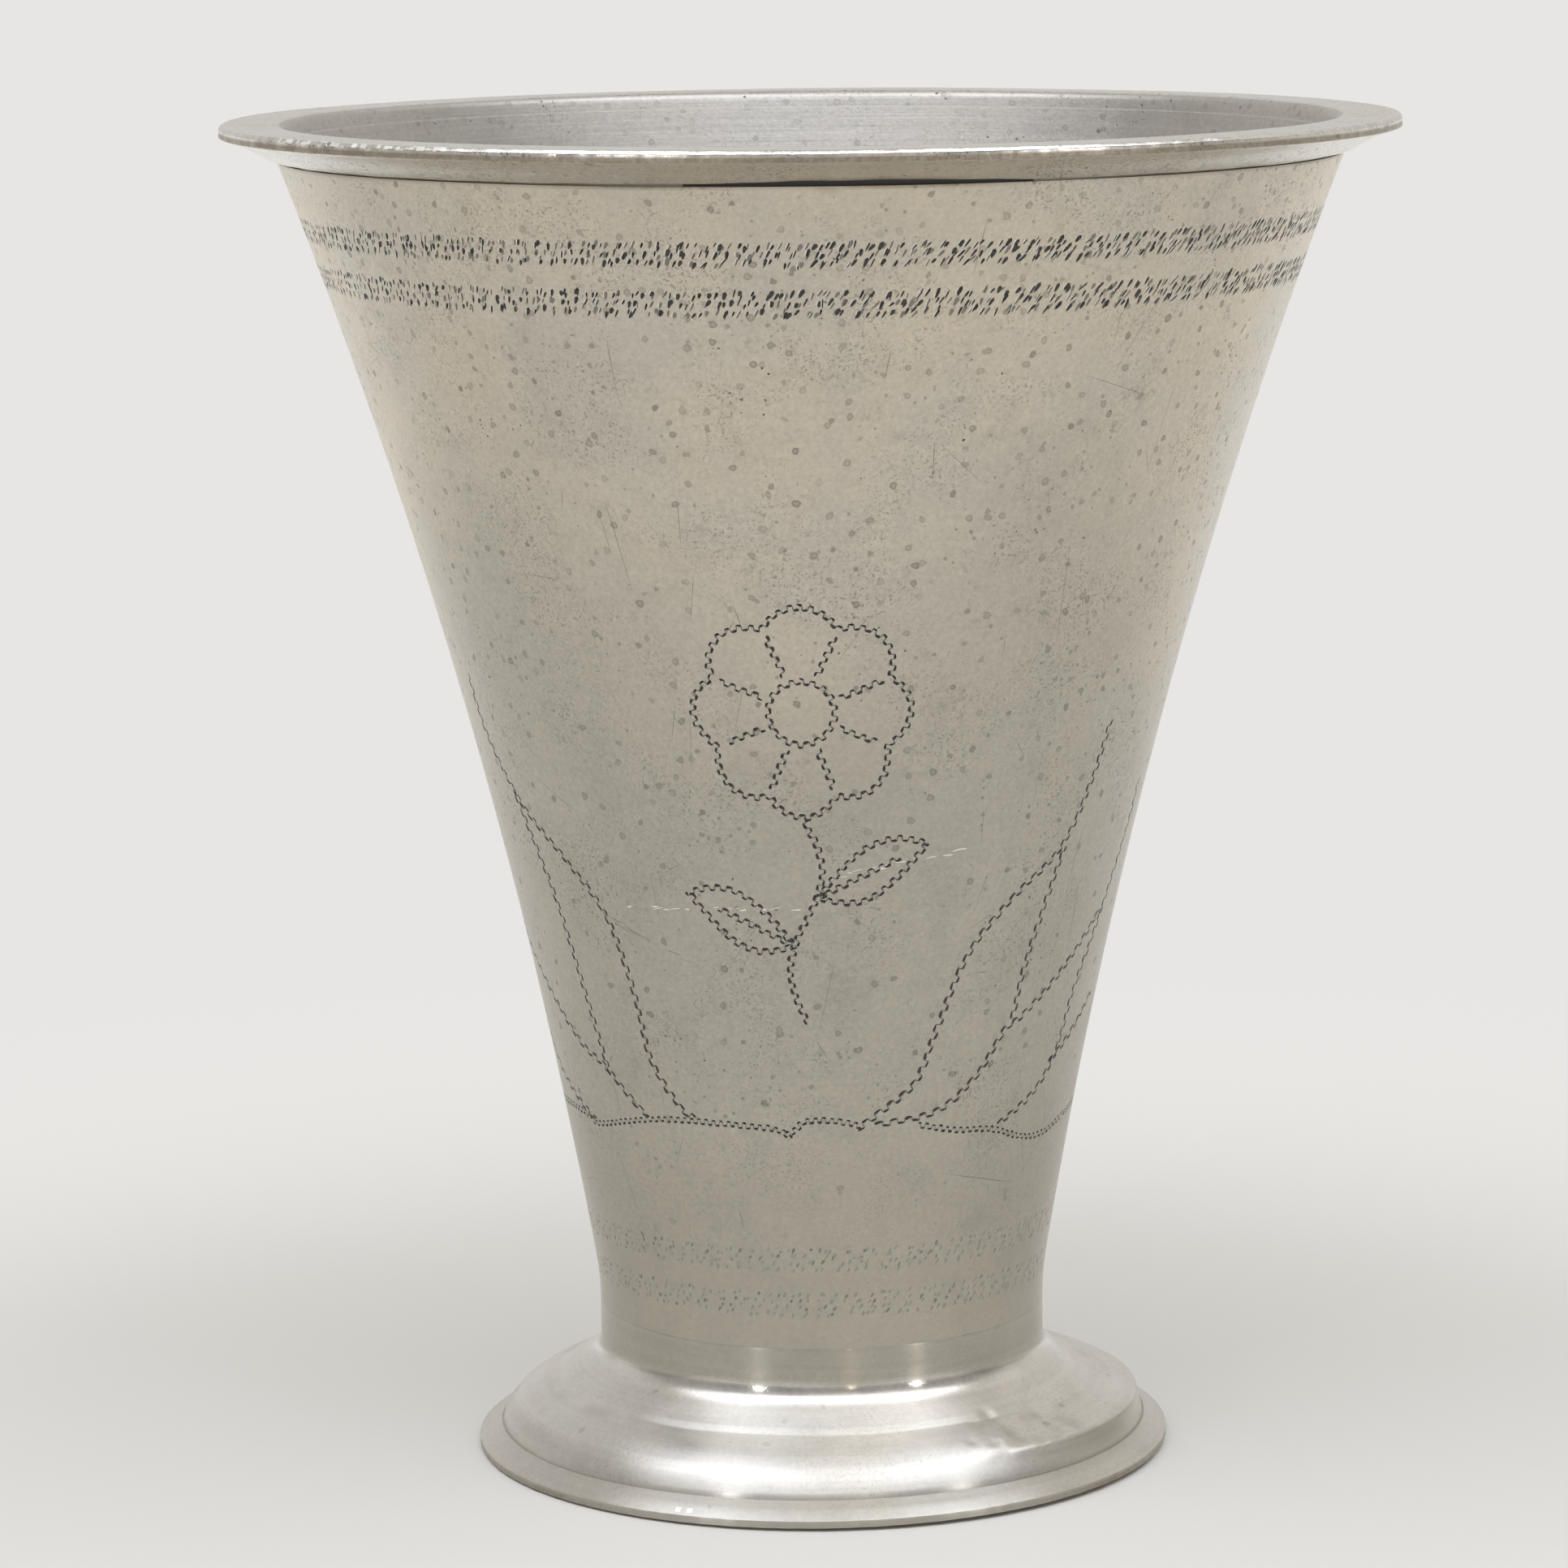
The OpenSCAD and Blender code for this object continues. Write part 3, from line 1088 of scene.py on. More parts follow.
@dataclass
class BowlWall:
    """The trumpet-shaped wall with its punched bands, fronds, ground line, rosette and wear.

    The points of a drawn line are azimuth in degrees and height.
    """

    curve: WallCurve
    tongue_r: float = 65.965
    tongue_z: float = 167.7
    ledge_z: float = 23.85
    socket_r: float = 27.231
    lip_z: float = 18.765
    lip_r: float = 28.2
    top_z: float = 165.4
    line_w: float = 0.55
    opening_az: float = 4.0
    opening_half: float = 17.5
    columns: int = 192
    row_step: float = 2.4
    lining_rows: int = 30
    lining_slot: int = 1
    unroll_r: float = 50.0
    clear: float = 0.85
    seam_margin: float = 0.008

    bands: Sequence[PunchedBand] = (
        PunchedBand(155.9, 158.8, 1560, seed=11),
        PunchedBand(149.9, 153.1, 1520, seed=12),
        PunchedBand.rubbed(28.8, 32.1, 640, 0.82, 13),
        PunchedBand.rubbed(22.9, 26.2, 620, 0.85, 14),
    )
    fronds: Sequence[Line] = (
        (
            *((-70, 102), (-69, 95), (-61.5, 87), (-50.5, 80.5), (-42.5, 74)),
            *((-38.8, 64.5), (-37, 55.6), (-31.4, 50), (-28, 48.6)),
        ),
        ((-63, 88), (-57.2, 76.3), (-54.7, 68), (-52.2, 58.9), (-51.5, 56.6), (-50.8, 54), (-50, 52.8)),
        ((-85, 69.7), (-71, 62.2), (-58.7, 55.7), (-51.4, 53.5), (-42.3, 48.8), (-39.6, 48.2)),
        ((-85, 57), (-79.8, 53.4), (-75.6, 50.6), (-71.7, 49.4), (-66, 47.5), (-59, 45.6)),
        (
            *((53.7, 97), (52, 90), (47.3, 82), (36.4, 75.8), (28.6, 69.3)),
            *((23.2, 59.5), (19.8, 53.5), (11.8, 49.5), (7.4, 47.7)),
        ),
        ((48, 81.5), (45.5, 74.5), (42.8, 66.5), (41.6, 59.7)),
        ((67, 71.6), (54.8, 65), (44.4, 60.2), (39.9, 58.7), (34, 53.3), (25.3, 49.4), (10.7, 48.1)),
        ((73, 87.5), (72.6, 81), (67, 69.8), (61.7, 61.8), (59, 54.2), (52.7, 49.5), (42, 46.3)),
        ((74, 60), (68, 57.3), (63.6, 55.4), (57, 53)),
    )
    ground: Sequence[Line] = (
        (
            *((-81.5, 46), (-71.9, 46.3), (-61.8, 46), (-58.5, 45.3), (-40.8, 47.5)),
            *((-28.8, 48.2), (-12.7, 48), (-8.2, 47.4), (-6.5, 46.5)),
        ),
        ((-7, 47.2), (-5.2, 48), (-3.8, 48.8), (-1.6, 49), (1.3, 49), (4.8, 48.7), (8.2, 48.1)),
        ((21.4, 47.7), (24.7, 47.3), (30.8, 46.5), (40.3, 45.8), (51, 43.8), (60, 43.4), (69.5, 44.4)),
        (
            *((70.5, 44.5), (84, 45.4), (100, 46.6), (118, 47.3)),
            *((136, 46.9), (152, 46.1), (166, 45.9), (178.5, 46.4)),
        ),
        (
            *((-178.5, 46.5), (-166, 47.2), (-152, 47.6), (-136, 46.9)),
            *((-118, 46.2), (-100, 46.4), (-82.5, 46)),
        ),
    )
    scuffs: Sequence[Scuff] = (
        Scuff((-38, 75.6), (-1, 76.8), 16, seed=71),
        Scuff((4, 81.0), (26, 83.4), 14, seed=72),
        Scuff((-40.9, 73.6), (-25.7, 69.5), 9, 3.2, 0.09, Cut.WORN, seed=73),
    )

    rosette_at: Point = (-2.5, 101.5)
    rosette_r: float = 13.0
    rosette_lobes: int = 8
    notch_share: float = 0.88
    lobe_share: float = 0.14
    eye_r: float = 4.0
    rib_gap: float = 1.2
    rib_share: float = 0.78
    stem_l: float = 26.0
    stem_gap: float = 0.6
    stem_sway: float = 2.4
    leaf_l: float = 15.0
    leaf_gap: float = 1.8
    leaf_rise: float = 6.5
    leaf_bow: float = 3.4
    leaves: Sequence[Point] = ((-1, 0.62), (1, 0.38))

    wavy_z: Point = (40.0, 150.0)
    wave_fade: Point = (3.0, 1.0)
    slow_wave: float = 0.05
    fine_wave: float = 0.02
    film: float = 0.18
    film_z: Point = (34.0, 58.0)
    patina: float = 0.96
    patina_and_shade_z: Point = (82.0, 142.0)
    shine: float = 0.9
    shine_z: Point = (22.0, 50.0)

    def _rosette(self) -> list[Line]:
        """A round flower of eight lobes with a ribbed eye, on a curved stem with two pointed leaves.

        The flower's edge is radius R (0.88 + 0.14 |cos(4 t)|) for t round a circle, its eye a small
        circle, and a short rib runs from the eye into each notch. A leaf is a rib between two bows.

        Returns:
            The lines' points, as azimuth in degrees and height.
        """
        middle_az, middle_z = self.rosette_at
        per_mm = math.degrees(1 / float(self.curve.radius(middle_z)))

        def placed(right: Array, up: Array) -> list[Point]:
            """Offsets in millimetres as azimuth and height."""
            return list(zip(middle_az + right * per_mm, middle_z + up))

        t = np.linspace(0, TURN, 8 * self.rosette_lobes + 1)
        lobes = np.abs(np.cos(self.rosette_lobes / 2 * t))
        edge = self.rosette_r * (self.notch_share + self.lobe_share * lobes)
        eye = np.linspace(0, TURN, 13)
        s = np.linspace(0, 1, 9)
        lines = [placed(edge * np.sin(t), edge * np.cos(t))]
        lines.append(placed(self.eye_r * np.sin(eye), self.eye_r * np.cos(eye)))
        rib = np.linspace(self.eye_r + self.rib_gap, self.rosette_r * self.rib_share, 3)
        for notch in TURN * (np.arange(self.rosette_lobes) + 0.5) / self.rosette_lobes:
            lines.append(placed(rib * math.sin(notch), rib * math.cos(notch)))
        start = -self.rosette_r - self.stem_gap
        lines.append(placed(self.stem_sway * np.sin(TURN * s), start - self.stem_l * s))
        for side, drop in self.leaves:
            across = side * (self.leaf_gap + self.leaf_l * s)
            level = start - drop * self.stem_l + self.leaf_rise * s
            for bow in (-self.leaf_bow, self.leaf_bow):
                lines.append(placed(across, level + bow * np.sin(math.pi * s)))
            lines.append(placed(across[:7], level[:7]))
        return lines

    def _cuts(self) -> Marks:
        """Every cut in the wall, apart from those that would cross the seam at the back.

        Returns:
            The cuts.
        """
        graver = Graver(self.curve)
        short = {"pitch": 0.5, "swing": 0.29, "stroke": 0.62, "width": 0.36, "link": 0.25}
        fine = {"pitch": 0.72, "swing": 0.29, "stroke": 0.84, "width": 0.41}
        lines = [WriggleLine(p, seed=20 + i) for i, p in enumerate(self.fronds)]
        lines += [WriggleLine(p, seed=40 + i, **short) for i, p in enumerate(self.ground)]
        lines += [WriggleLine(p, seed=50 + i, **fine) for i, p in enumerate(self._rosette())]
        parts = (*self.bands, *lines, PitScatter(), Scratches(), *self.scuffs)
        marks = Marks.joined([part.cut(graver) for part in parts])
        return marks.chosen(np.abs(marks.outline[..., 0]).max(axis=1) < math.pi - self.seam_margin)

    def _bulge(self, azimuth: Array, z: Array) -> Array:
        """How far the hand-turned wall stands off its true curve: slow waves, none at either end.

        Args:
            azimuth: Angles round the axis.
            z: Heights.

        Returns:
            The distance outwards.
        """
        rise = ease(z, self.curve.joint_z + self.wave_fade[0], self.wavy_z[0])
        fall = ease(z, self.wavy_z[1], self.curve.shoulder_z - self.wave_fade[1])
        slow = self.slow_wave * ripple(azimuth, z, (2, 6), 9, 3)
        fine = self.fine_wave * ripple(azimuth, z * 3, (8, 18), 12, 4)
        return rise * (1 - fall) * (slow + fine)

    def _grime_and_shade(self, azimuth: Array, z: Array) -> Array:
        """Brown film in patches under the lip and even on the lowest part, with painted shade in a dark
        strip along the top edge and just under the lip.

        Args:
            azimuth: Angles round the axis.
            z: Heights.

        Returns:
            How thick the film is, from 0 to 1.
        """
        patch = 0.5 + 0.5 * ripple(azimuth, z * 2, (3, 14), 12, 5)
        lower = self.film - self.film * ease(z, *self.film_z)
        # Painted shade: a dark strip along the top edge, under the lip's groove.
        line = 0.5 * ease(z, self.top_z - self.line_w, self.top_z)
        # Brown stain and painted shade just under the lip.
        under = 0.08 * bell(z, self.curve.shoulder_z, 1.2)
        below = 0.10 * bell(z, 162.0, 4.5)
        return (line + under + below) * (0.5 + 0.7 * patch) + lower

    def _patina_and_shade(self, azimuth: Array, z: Array) -> Array:
        """Cool dull film on the lower wall and up its left front, with a clouded upper limit; on the lower
        wall it also paints the shade that the wall mirrors from the floor near the foot.

        Args:
            azimuth: Angles round the axis.
            z: Heights.

        Returns:
            How dull the wall is, from 0 to 1.
        """
        limit = z + 14 * ripple(azimuth, z, (2, 7), 10, 6)
        left = 0.4 * bell(np.degrees(azimuth), -40, 14) * (1 - ease(z, 130, 155))
        # Darker towards the bottom: the wall's own dull film, and painted shade that the lower wall mirrors
        # from the floor near the foot.
        return np.maximum(self.patina - self.patina * ease(limit, *self.patina_and_shade_z), left)

    def _polish(self, z: Array) -> Array:
        """Shine of the lowest part, which has the least wear."""
        return self.shine - self.shine * ease(z, *self.shine_z)

    def _values(self, azimuth: Array, z: Array) -> dict[str, Array]:
        """What the outside's finish reads at each point."""
        grime = self._grime_and_shade(azimuth, z)
        return {"grime": grime, "patina": self._patina_and_shade(azimuth, z), "polish": self._polish(z)}

    def _skin(self) -> tuple[Array, Array, Array, dict[str, Array]]:
        """The outside with its cuts, by a constrained triangulation of the unrolled wall.

        Grid points, outlines and keels are triangulated in the plane of azimuth times a fixed
        radius and height. Grid points too near a cut are left out. A point then goes to its azimuth
        at the wall's radius, moved inwards along the wall's normal by the depth of its cut.

        Returns:
            Points, triangles, each triangle's material index and the named values of each point.
        """
        marks = self._cuts()
        low = self.lip_z
        rows = int((self.top_z - low) / self.row_step) + 1
        z = np.append(np.linspace(low, self.top_z - self.line_w, rows), self.top_z)
        azimuth = np.append(around(self.columns), math.pi)
        inner_az, inner_z = np.meshgrid(azimuth[1:-1], z[1:-1], indexing="ij")
        inner_az = inner_az + (np.arange(rows - 1) % 2 - 0.5) * 0.5 * (azimuth[1] - azimuth[0])
        inner = np.stack([inner_az, inner_z], axis=-1).reshape(-1, 2)
        scale = np.array([self.unroll_r, 1.0])
        cut_points = np.concatenate([marks.outline.reshape(-1, 2), marks.keel.reshape(-1, 2)])
        origin = np.array([-math.pi, low]) * scale - 2 * self.clear
        cell = ((np.concatenate([cut_points, inner]) * scale - origin) / self.clear).astype(int)
        taken = np.zeros(cell.max(axis=0) + 2, bool)
        taken[tuple(cell[: len(cut_points)].T)] = True
        free = inner[~taken[tuple(cell[len(cut_points) :].T)]]
        ends = [np.stack([azimuth, np.full_like(azimuth, end)], axis=-1) for end in (z[0], z[-1])]
        sides = [np.stack([np.full(rows - 1, side), z[1:-1]], axis=-1) for side in (-math.pi, math.pi)]
        given = np.concatenate([cut_points, free, *ends, *sides])
        count, corners = marks.outline.shape[:2]
        loops = np.arange(count * corners).reshape(count, corners)[:, ::-1]
        depth = np.zeros(len(given))
        depth[count * corners : len(cut_points)] = np.repeat(marks.depth, marks.keel.shape[1])
        flat = [Vector(p) for p in (given * scale).tolist()]
        found, _, faces, sources, _, owners = delaunay_2d_cdt(flat, [], loops.tolist(), 0, 1e-6)
        place = np.array([tuple(p) for p in found]) / scale
        known = np.array([s[0] if s else -1 for s in sources])
        place = np.where(known[:, None] >= 0, given[known], place)
        sunk = np.where(known >= 0, depth[known], 0.0)
        lean = self.curve.lean(place[:, 1])
        radius = self.curve.radius(place[:, 1]) + self._bulge(*place.T) - sunk * np.cos(lean)
        points = turned(radius, place[:, 1] + sunk * np.sin(lean), place[:, 0])
        slots = np.array([marks.finish[o[0]] if o else 0 for o in owners])
        triangles = np.array(faces)
        a, b, c = (points[triangles[:, i]] for i in range(3))
        inward = np.einsum("ij,ij->i", np.cross(b - a, c - a)[:, :2], (a + b + c)[:, :2]) < 0
        triangles[inward] = triangles[inward][:, ::-1]
        return points, triangles, slots, self._values(*place.T)

    def _rest(self) -> Array:
        """Section from the top of the outside over the tongue, down the inside and round the socket.

        Returns:
            Radius and height of its points.
        """
        curve = self.curve
        z = np.linspace(self.tongue_z, self.ledge_z, self.lining_rows)
        inside = np.stack([curve.inside(z), z], axis=-1)
        top = [
            (float(curve.radius(self.top_z)), self.top_z),
            (self.tongue_r, self.top_z),
            (self.tongue_r, self.tongue_z),
        ]
        foot = [
            (self.socket_r, self.ledge_z),
            (self.socket_r, curve.joint_z),
            (self.lip_r, curve.joint_z),
            (self.lip_r, self.lip_z),
            (float(curve.radius(self.lip_z)), self.lip_z),
        ]
        return np.concatenate([np.array(top), inside, np.array(foot)])

    def build(self, outside: Pewter, inner: Pewter, cuts: Sequence[Tarnish]) -> bpy.types.Object:
        """Make the wall: its engraved outside, and a lathed lining that is welded to it.

        The upper edge, seen in the groove under the lip, is painted dark as shade where the groove opens,
        and worn elsewhere.

        Args:
            outside: Finish of the outside.
            inner: Finish of the inside.
            cuts: Finishes of the cuts, in the order of Cut.

        Returns:
            The piece.
        """
        points, triangles, slots, values = self._skin()
        section = self._rest()
        azimuth = around(self.columns)
        quads = ring_faces(len(section), self.columns, False) + len(points)
        materials = [f.material() for f in (outside, inner, *cuts)]
        ends = np.isin(np.arange(len(section)), (0, len(section) - 1))[:, None]
        rest = self._values(*np.broadcast_arrays(azimuth[None], section[:, 1:]))
        # Painted shade: the edge inside the lip's groove takes the dark cut's finish where the groove opens.
        opening = np.abs(np.degrees(azimuth) - self.opening_az) < self.opening_half
        edge = np.where(opening, Cut.DARK.value, Cut.WORN.value)
        lining = np.full((len(section) - 3) * self.columns, self.lining_slot)
        piece = make_piece(
            "engraved_wall",
            np.concatenate([points, lathed(section, self.columns)]),
            [triangles, quads],
            materials,
            np.concatenate([slots, edge, edge, lining]),
            {key: np.concatenate([value, (ends * rest[key]).ravel()]) for key, value in values.items()},
        )
        weld = bmesh.new()
        weld.from_mesh(piece.data)
        bmesh.ops.remove_doubles(weld, verts=weld.verts, dist=WELD_MM * MM)
        weld.to_mesh(piece.data)
        weld.free()
        piece.data.set_sharp_from_angle(angle=SHARP_ANGLE)
        seat(piece, "pewter_body", "bowl_wall")
        return piece


@dataclass
class RimRing:
    """The flat applied lip: a skirt round the wall's tongue, a wide flat top and a knocked edge.

    A nick is its azimuth in degrees, its width in degrees and its depth.
    """

    curve: WallCurve
    lip_r: float = 73.7
    top_z: float = 170.0
    edge_z: float = 168.5
    edge_round: float = 0.2
    skirt_z: float = 166.4
    skirt_r: float = 67.315
    skirt_round: float = 0.08
    bore_r: float = 66.115
    seat_z: float = 167.85
    bevel: Point = (0.36, 0.48)
    bevel_round: float = 0.25
    mouth_round: float = 1.4
    columns: int = 720
    spacing: float = 0.55

    hang: float = 0.72
    opening: float = 0.44
    opening_az: float = 4.0
    opening_w: float = 14.0
    hang_h: float = 2.0
    roughness: float = 0.13
    sag: Point = (0.06, 0.05)
    nick_z: float = 169.6
    face_z: Point = (169.1, 169.5)
    shine_z: Point = (169.3, 169.6)
    chipped: Point = (-60.0, -35.0)
    chip_zone: Point = (0.7, 0.75)
    chip_slot: int = 2
    nicks: Sequence[Nick] = (
        (-63.5, 0.7, 0.4),
        (-61.0, 1.0, 0.5),
        (-56.5, 0.8, 0.4),
        (-52.6, 0.6, 0.35),
        (-50.0, 1.2, 0.5),
        (-46.0, 0.8, 0.35),
        (-23.0, 1.0, 0.15),
        (12.0, 0.9, 0.14),
        (38.0, 1.2, 0.2),
        (71.0, 1.1, 0.18),
        (118.0, 1.6, 0.25),
        (-140.0, 1.3, 0.22),
    )

    @property
    def mouth_r(self) -> float:
        """Radius where the inside, carried on at its slope, meets the top."""
        slope = math.tan(float(self.curve.lean(self.seat_z)))
        return float(self.curve.inside(self.seat_z)) + (self.top_z - self.seat_z) * slope

    def _section(self) -> Array:
        """The ring's section, anticlockwise from the foot of the skirt.

        Returns:
            Radius and height of its points.
        """
        corners = [
            (self.bore_r, self.skirt_z, self.skirt_round),
            (self.skirt_r, self.skirt_z, self.edge_round),
            (self.lip_r, self.edge_z, self.edge_round),
            (self.lip_r, self.top_z - self.bevel[1], self.bevel_round),
            (self.lip_r - self.bevel[0], self.top_z, self.bevel_round),
            (self.mouth_r, self.top_z, self.mouth_round),
            (float(self.curve.inside(self.seat_z)), self.seat_z, 0.0),
            (self.bore_r, self.seat_z, 0.0),
        ]
        return filled(rounded(corners), self.spacing)

    def _bent(self, r: Array, z: Array, azimuth: Array) -> tuple[Array, Array]:
        """Radius and height after wear.

        The edge is moved inwards by waves round the axis and by nicks, and the top sinks a little
        in slow waves, so that it stays inside the true ring. The skirt hangs lower than the true
        one except at the front, which leaves a thin groove that opens there.

        Args:
            r: Radii of the section.
            z: Heights of the section.
            azimuth: Angles round the axis.

        Returns:
            The new radii and heights.
        """
        degrees = np.degrees(azimuth)
        edge = ease(r, self.lip_r - 1.2, self.lip_r)
        rough = np.clip(0.5 + 0.5 * ripple(azimuth, z * 18, (20, 220), 60, 31), 0, 1.4)
        level = bell(z, self.nick_z, 0.9)
        dents = sum(deep * bell(degrees, at, wide) * level for at, wide, deep in self.nicks)
        sink = self.sag[0] + self.sag[1] * ripple(azimuth, r, (2, 9), 10, 32)
        top = ease(z, self.top_z - 0.3, self.top_z) * sink
        gap = self.hang - self.opening * bell(degrees, self.opening_az, self.opening_w)
        gap = gap + 0.05 * ripple(azimuth, z, (8, 60), 20, 34)
        outwards = ease(r, self.bore_r + 0.1, self.skirt_r - 0.2)
        lower = outwards * (1 - ease(r, self.skirt_r, self.lip_r - 0.8))
        hung = gap * lower * (1 - ease(z, self.skirt_z, self.skirt_z + self.hang_h))
        return r - edge * (self.roughness * rough + dents), z - top - hung - edge * 0.05 * rough

    def _values(self, r: Array, z: Array, azimuth: Array) -> dict[str, Array]:
        """What the lip's finish reads: darker under the lip, a brown film on its outer face, and painted
        shade in the groove.

        Args:
            r: Radii of the section.
            z: Heights of the section.
            azimuth: Angles round the axis.

        Returns:
            The brown film with the painted shade, and the shine of the edge, at each point.
        """
        under = bell(z, self.skirt_z, 0.9) * ease(r, self.bore_r - 0.2, self.bore_r + 0.5)
        face = ease(r, self.lip_r - 0.15, self.lip_r) * (1 - ease(z, *self.face_z))
        inner = 1 - ease(r, self.skirt_r - 0.3, self.skirt_r + 0.4)
        # Painted shade deep in the groove, at the foot of the skirt.
        groove_shade = bell(z, self.skirt_z - 0.1, 0.22) * inner
        grime = 0.08 * under + 0.72 * face + 0.8 * groove_shade
        shine = 0.35 * ease(r, self.lip_r - 1.4, self.lip_r - 0.4) * ease(z, *self.shine_z)
        return {"grime": grime + 0 * azimuth, "polish": shine + 0 * azimuth}

    def _slots(self, section: Array, azimuth: Array) -> Array:
        """Material index of each face: the lining inside, and bare chips with painted glints on a stretch of
        the bevel.

        Args:
            section: Radius and height of the section's points.
            azimuth: Angles round the axis.

        Returns:
            The index of each face, row after row.
        """
        middle = (section + np.roll(section, -1, axis=0)) / 2
        r, z = middle[:, :1], middle[:, 1:]
        inner = (r < self.mouth_r + 0.3) & (z > self.seat_z)
        bevel = (r > self.lip_r - self.chip_zone[0]) & (z > self.top_z - self.chip_zone[1])
        degrees = np.degrees(azimuth)
        # Bare chips with painted glints: patches of the bevel on a stretch of the left front take the bright
        # finish.
        bare = ripple(azimuth, z * 40, (60, 330), 60, 35) > 0.15
        bare = bare & bevel & (degrees > self.chipped[0]) & (degrees < self.chipped[1])
        return np.where(bare, self.chip_slot, inner.astype(int)).ravel()

    def build(self, finish: Pewter, lining: Pewter, bright: Tarnish) -> bpy.types.Object:
        """Make the ring.

        Args:
            finish: The lip's finish.
            lining: Finish of its inner face, which carries on the bowl's inside.
            bright: Finish of the bare metal where its edge is chipped, which also paints its glints.

        Returns:
            The piece.
        """
        section = self._section()
        azimuth = around(self.columns)[None]
        r, z = section[:, :1], section[:, 1:]
        points = turned(*self._bent(r, z, azimuth), azimuth).reshape(-1, 3)
        faces = ring_faces(len(section), self.columns, True)
        materials = [f.material() for f in (finish, lining, bright)]
        slots = self._slots(section, azimuth)
        piece = make_piece("lip_ring", points, [faces], materials, slots, self._values(r, z, azimuth))
        seat(piece, "pewter_body", "rim_ring")
        return piece


@dataclass
class BowlFloor:
    """The disc that closes the bowl, dished a little, with the dimple of the lathe's centre."""

    radius: float = 27.081
    low: float = 21.7
    thickness: float = 2.0
    dish: float = 0.25
    dimple_r: float = 0.9
    dimple: float = 0.35
    tip: float = 0.02
    dimple_rings: Sequence[float] = (0.25, 0.5, 0.8, 1.2)
    dish_from: float = 2.0
    dish_rings: int = 26
    columns: int = 96

    def build(self, finish: Pewter) -> bpy.types.Object:
        """Make the disc.

        Both faces are rings of points; the upper one sinks by dish (1 - (r/R)^2) and by the dimple's
        bump, and a fan of triangles closes each face at its centre.

        Args:
            finish: The floor's finish.

        Returns:
            The piece.
        """
        r = np.concatenate([self.dimple_rings, np.linspace(self.dish_from, self.radius, self.dish_rings)])
        top_z = self.low + self.thickness - self.dish * (1 - (r / self.radius) ** 2)
        top_z = top_z - self.dimple * bell(r, 0.0, self.dimple_r)
        lower = np.stack([r, np.full_like(r, self.low)], axis=-1)
        section = np.concatenate([lower, np.stack([r, top_z], axis=-1)[::-1]])
        rings = lathed(section, self.columns)
        poles = np.array([[0, 0, self.low], [0, 0, top_z[0] - self.tip]])
        count = len(rings)
        faces = [
            ring_faces(len(section), self.columns, False),
            fan(0, self.columns, count)[:, [1, 0, 2]],
            fan(count - self.columns, self.columns, count + 1),
        ]
        piece = make_piece("dished_floor", np.concatenate([rings, poles]), faces, [finish.material()])
        seat(piece, "pewter_inside", "bowl_floor")
        return piece


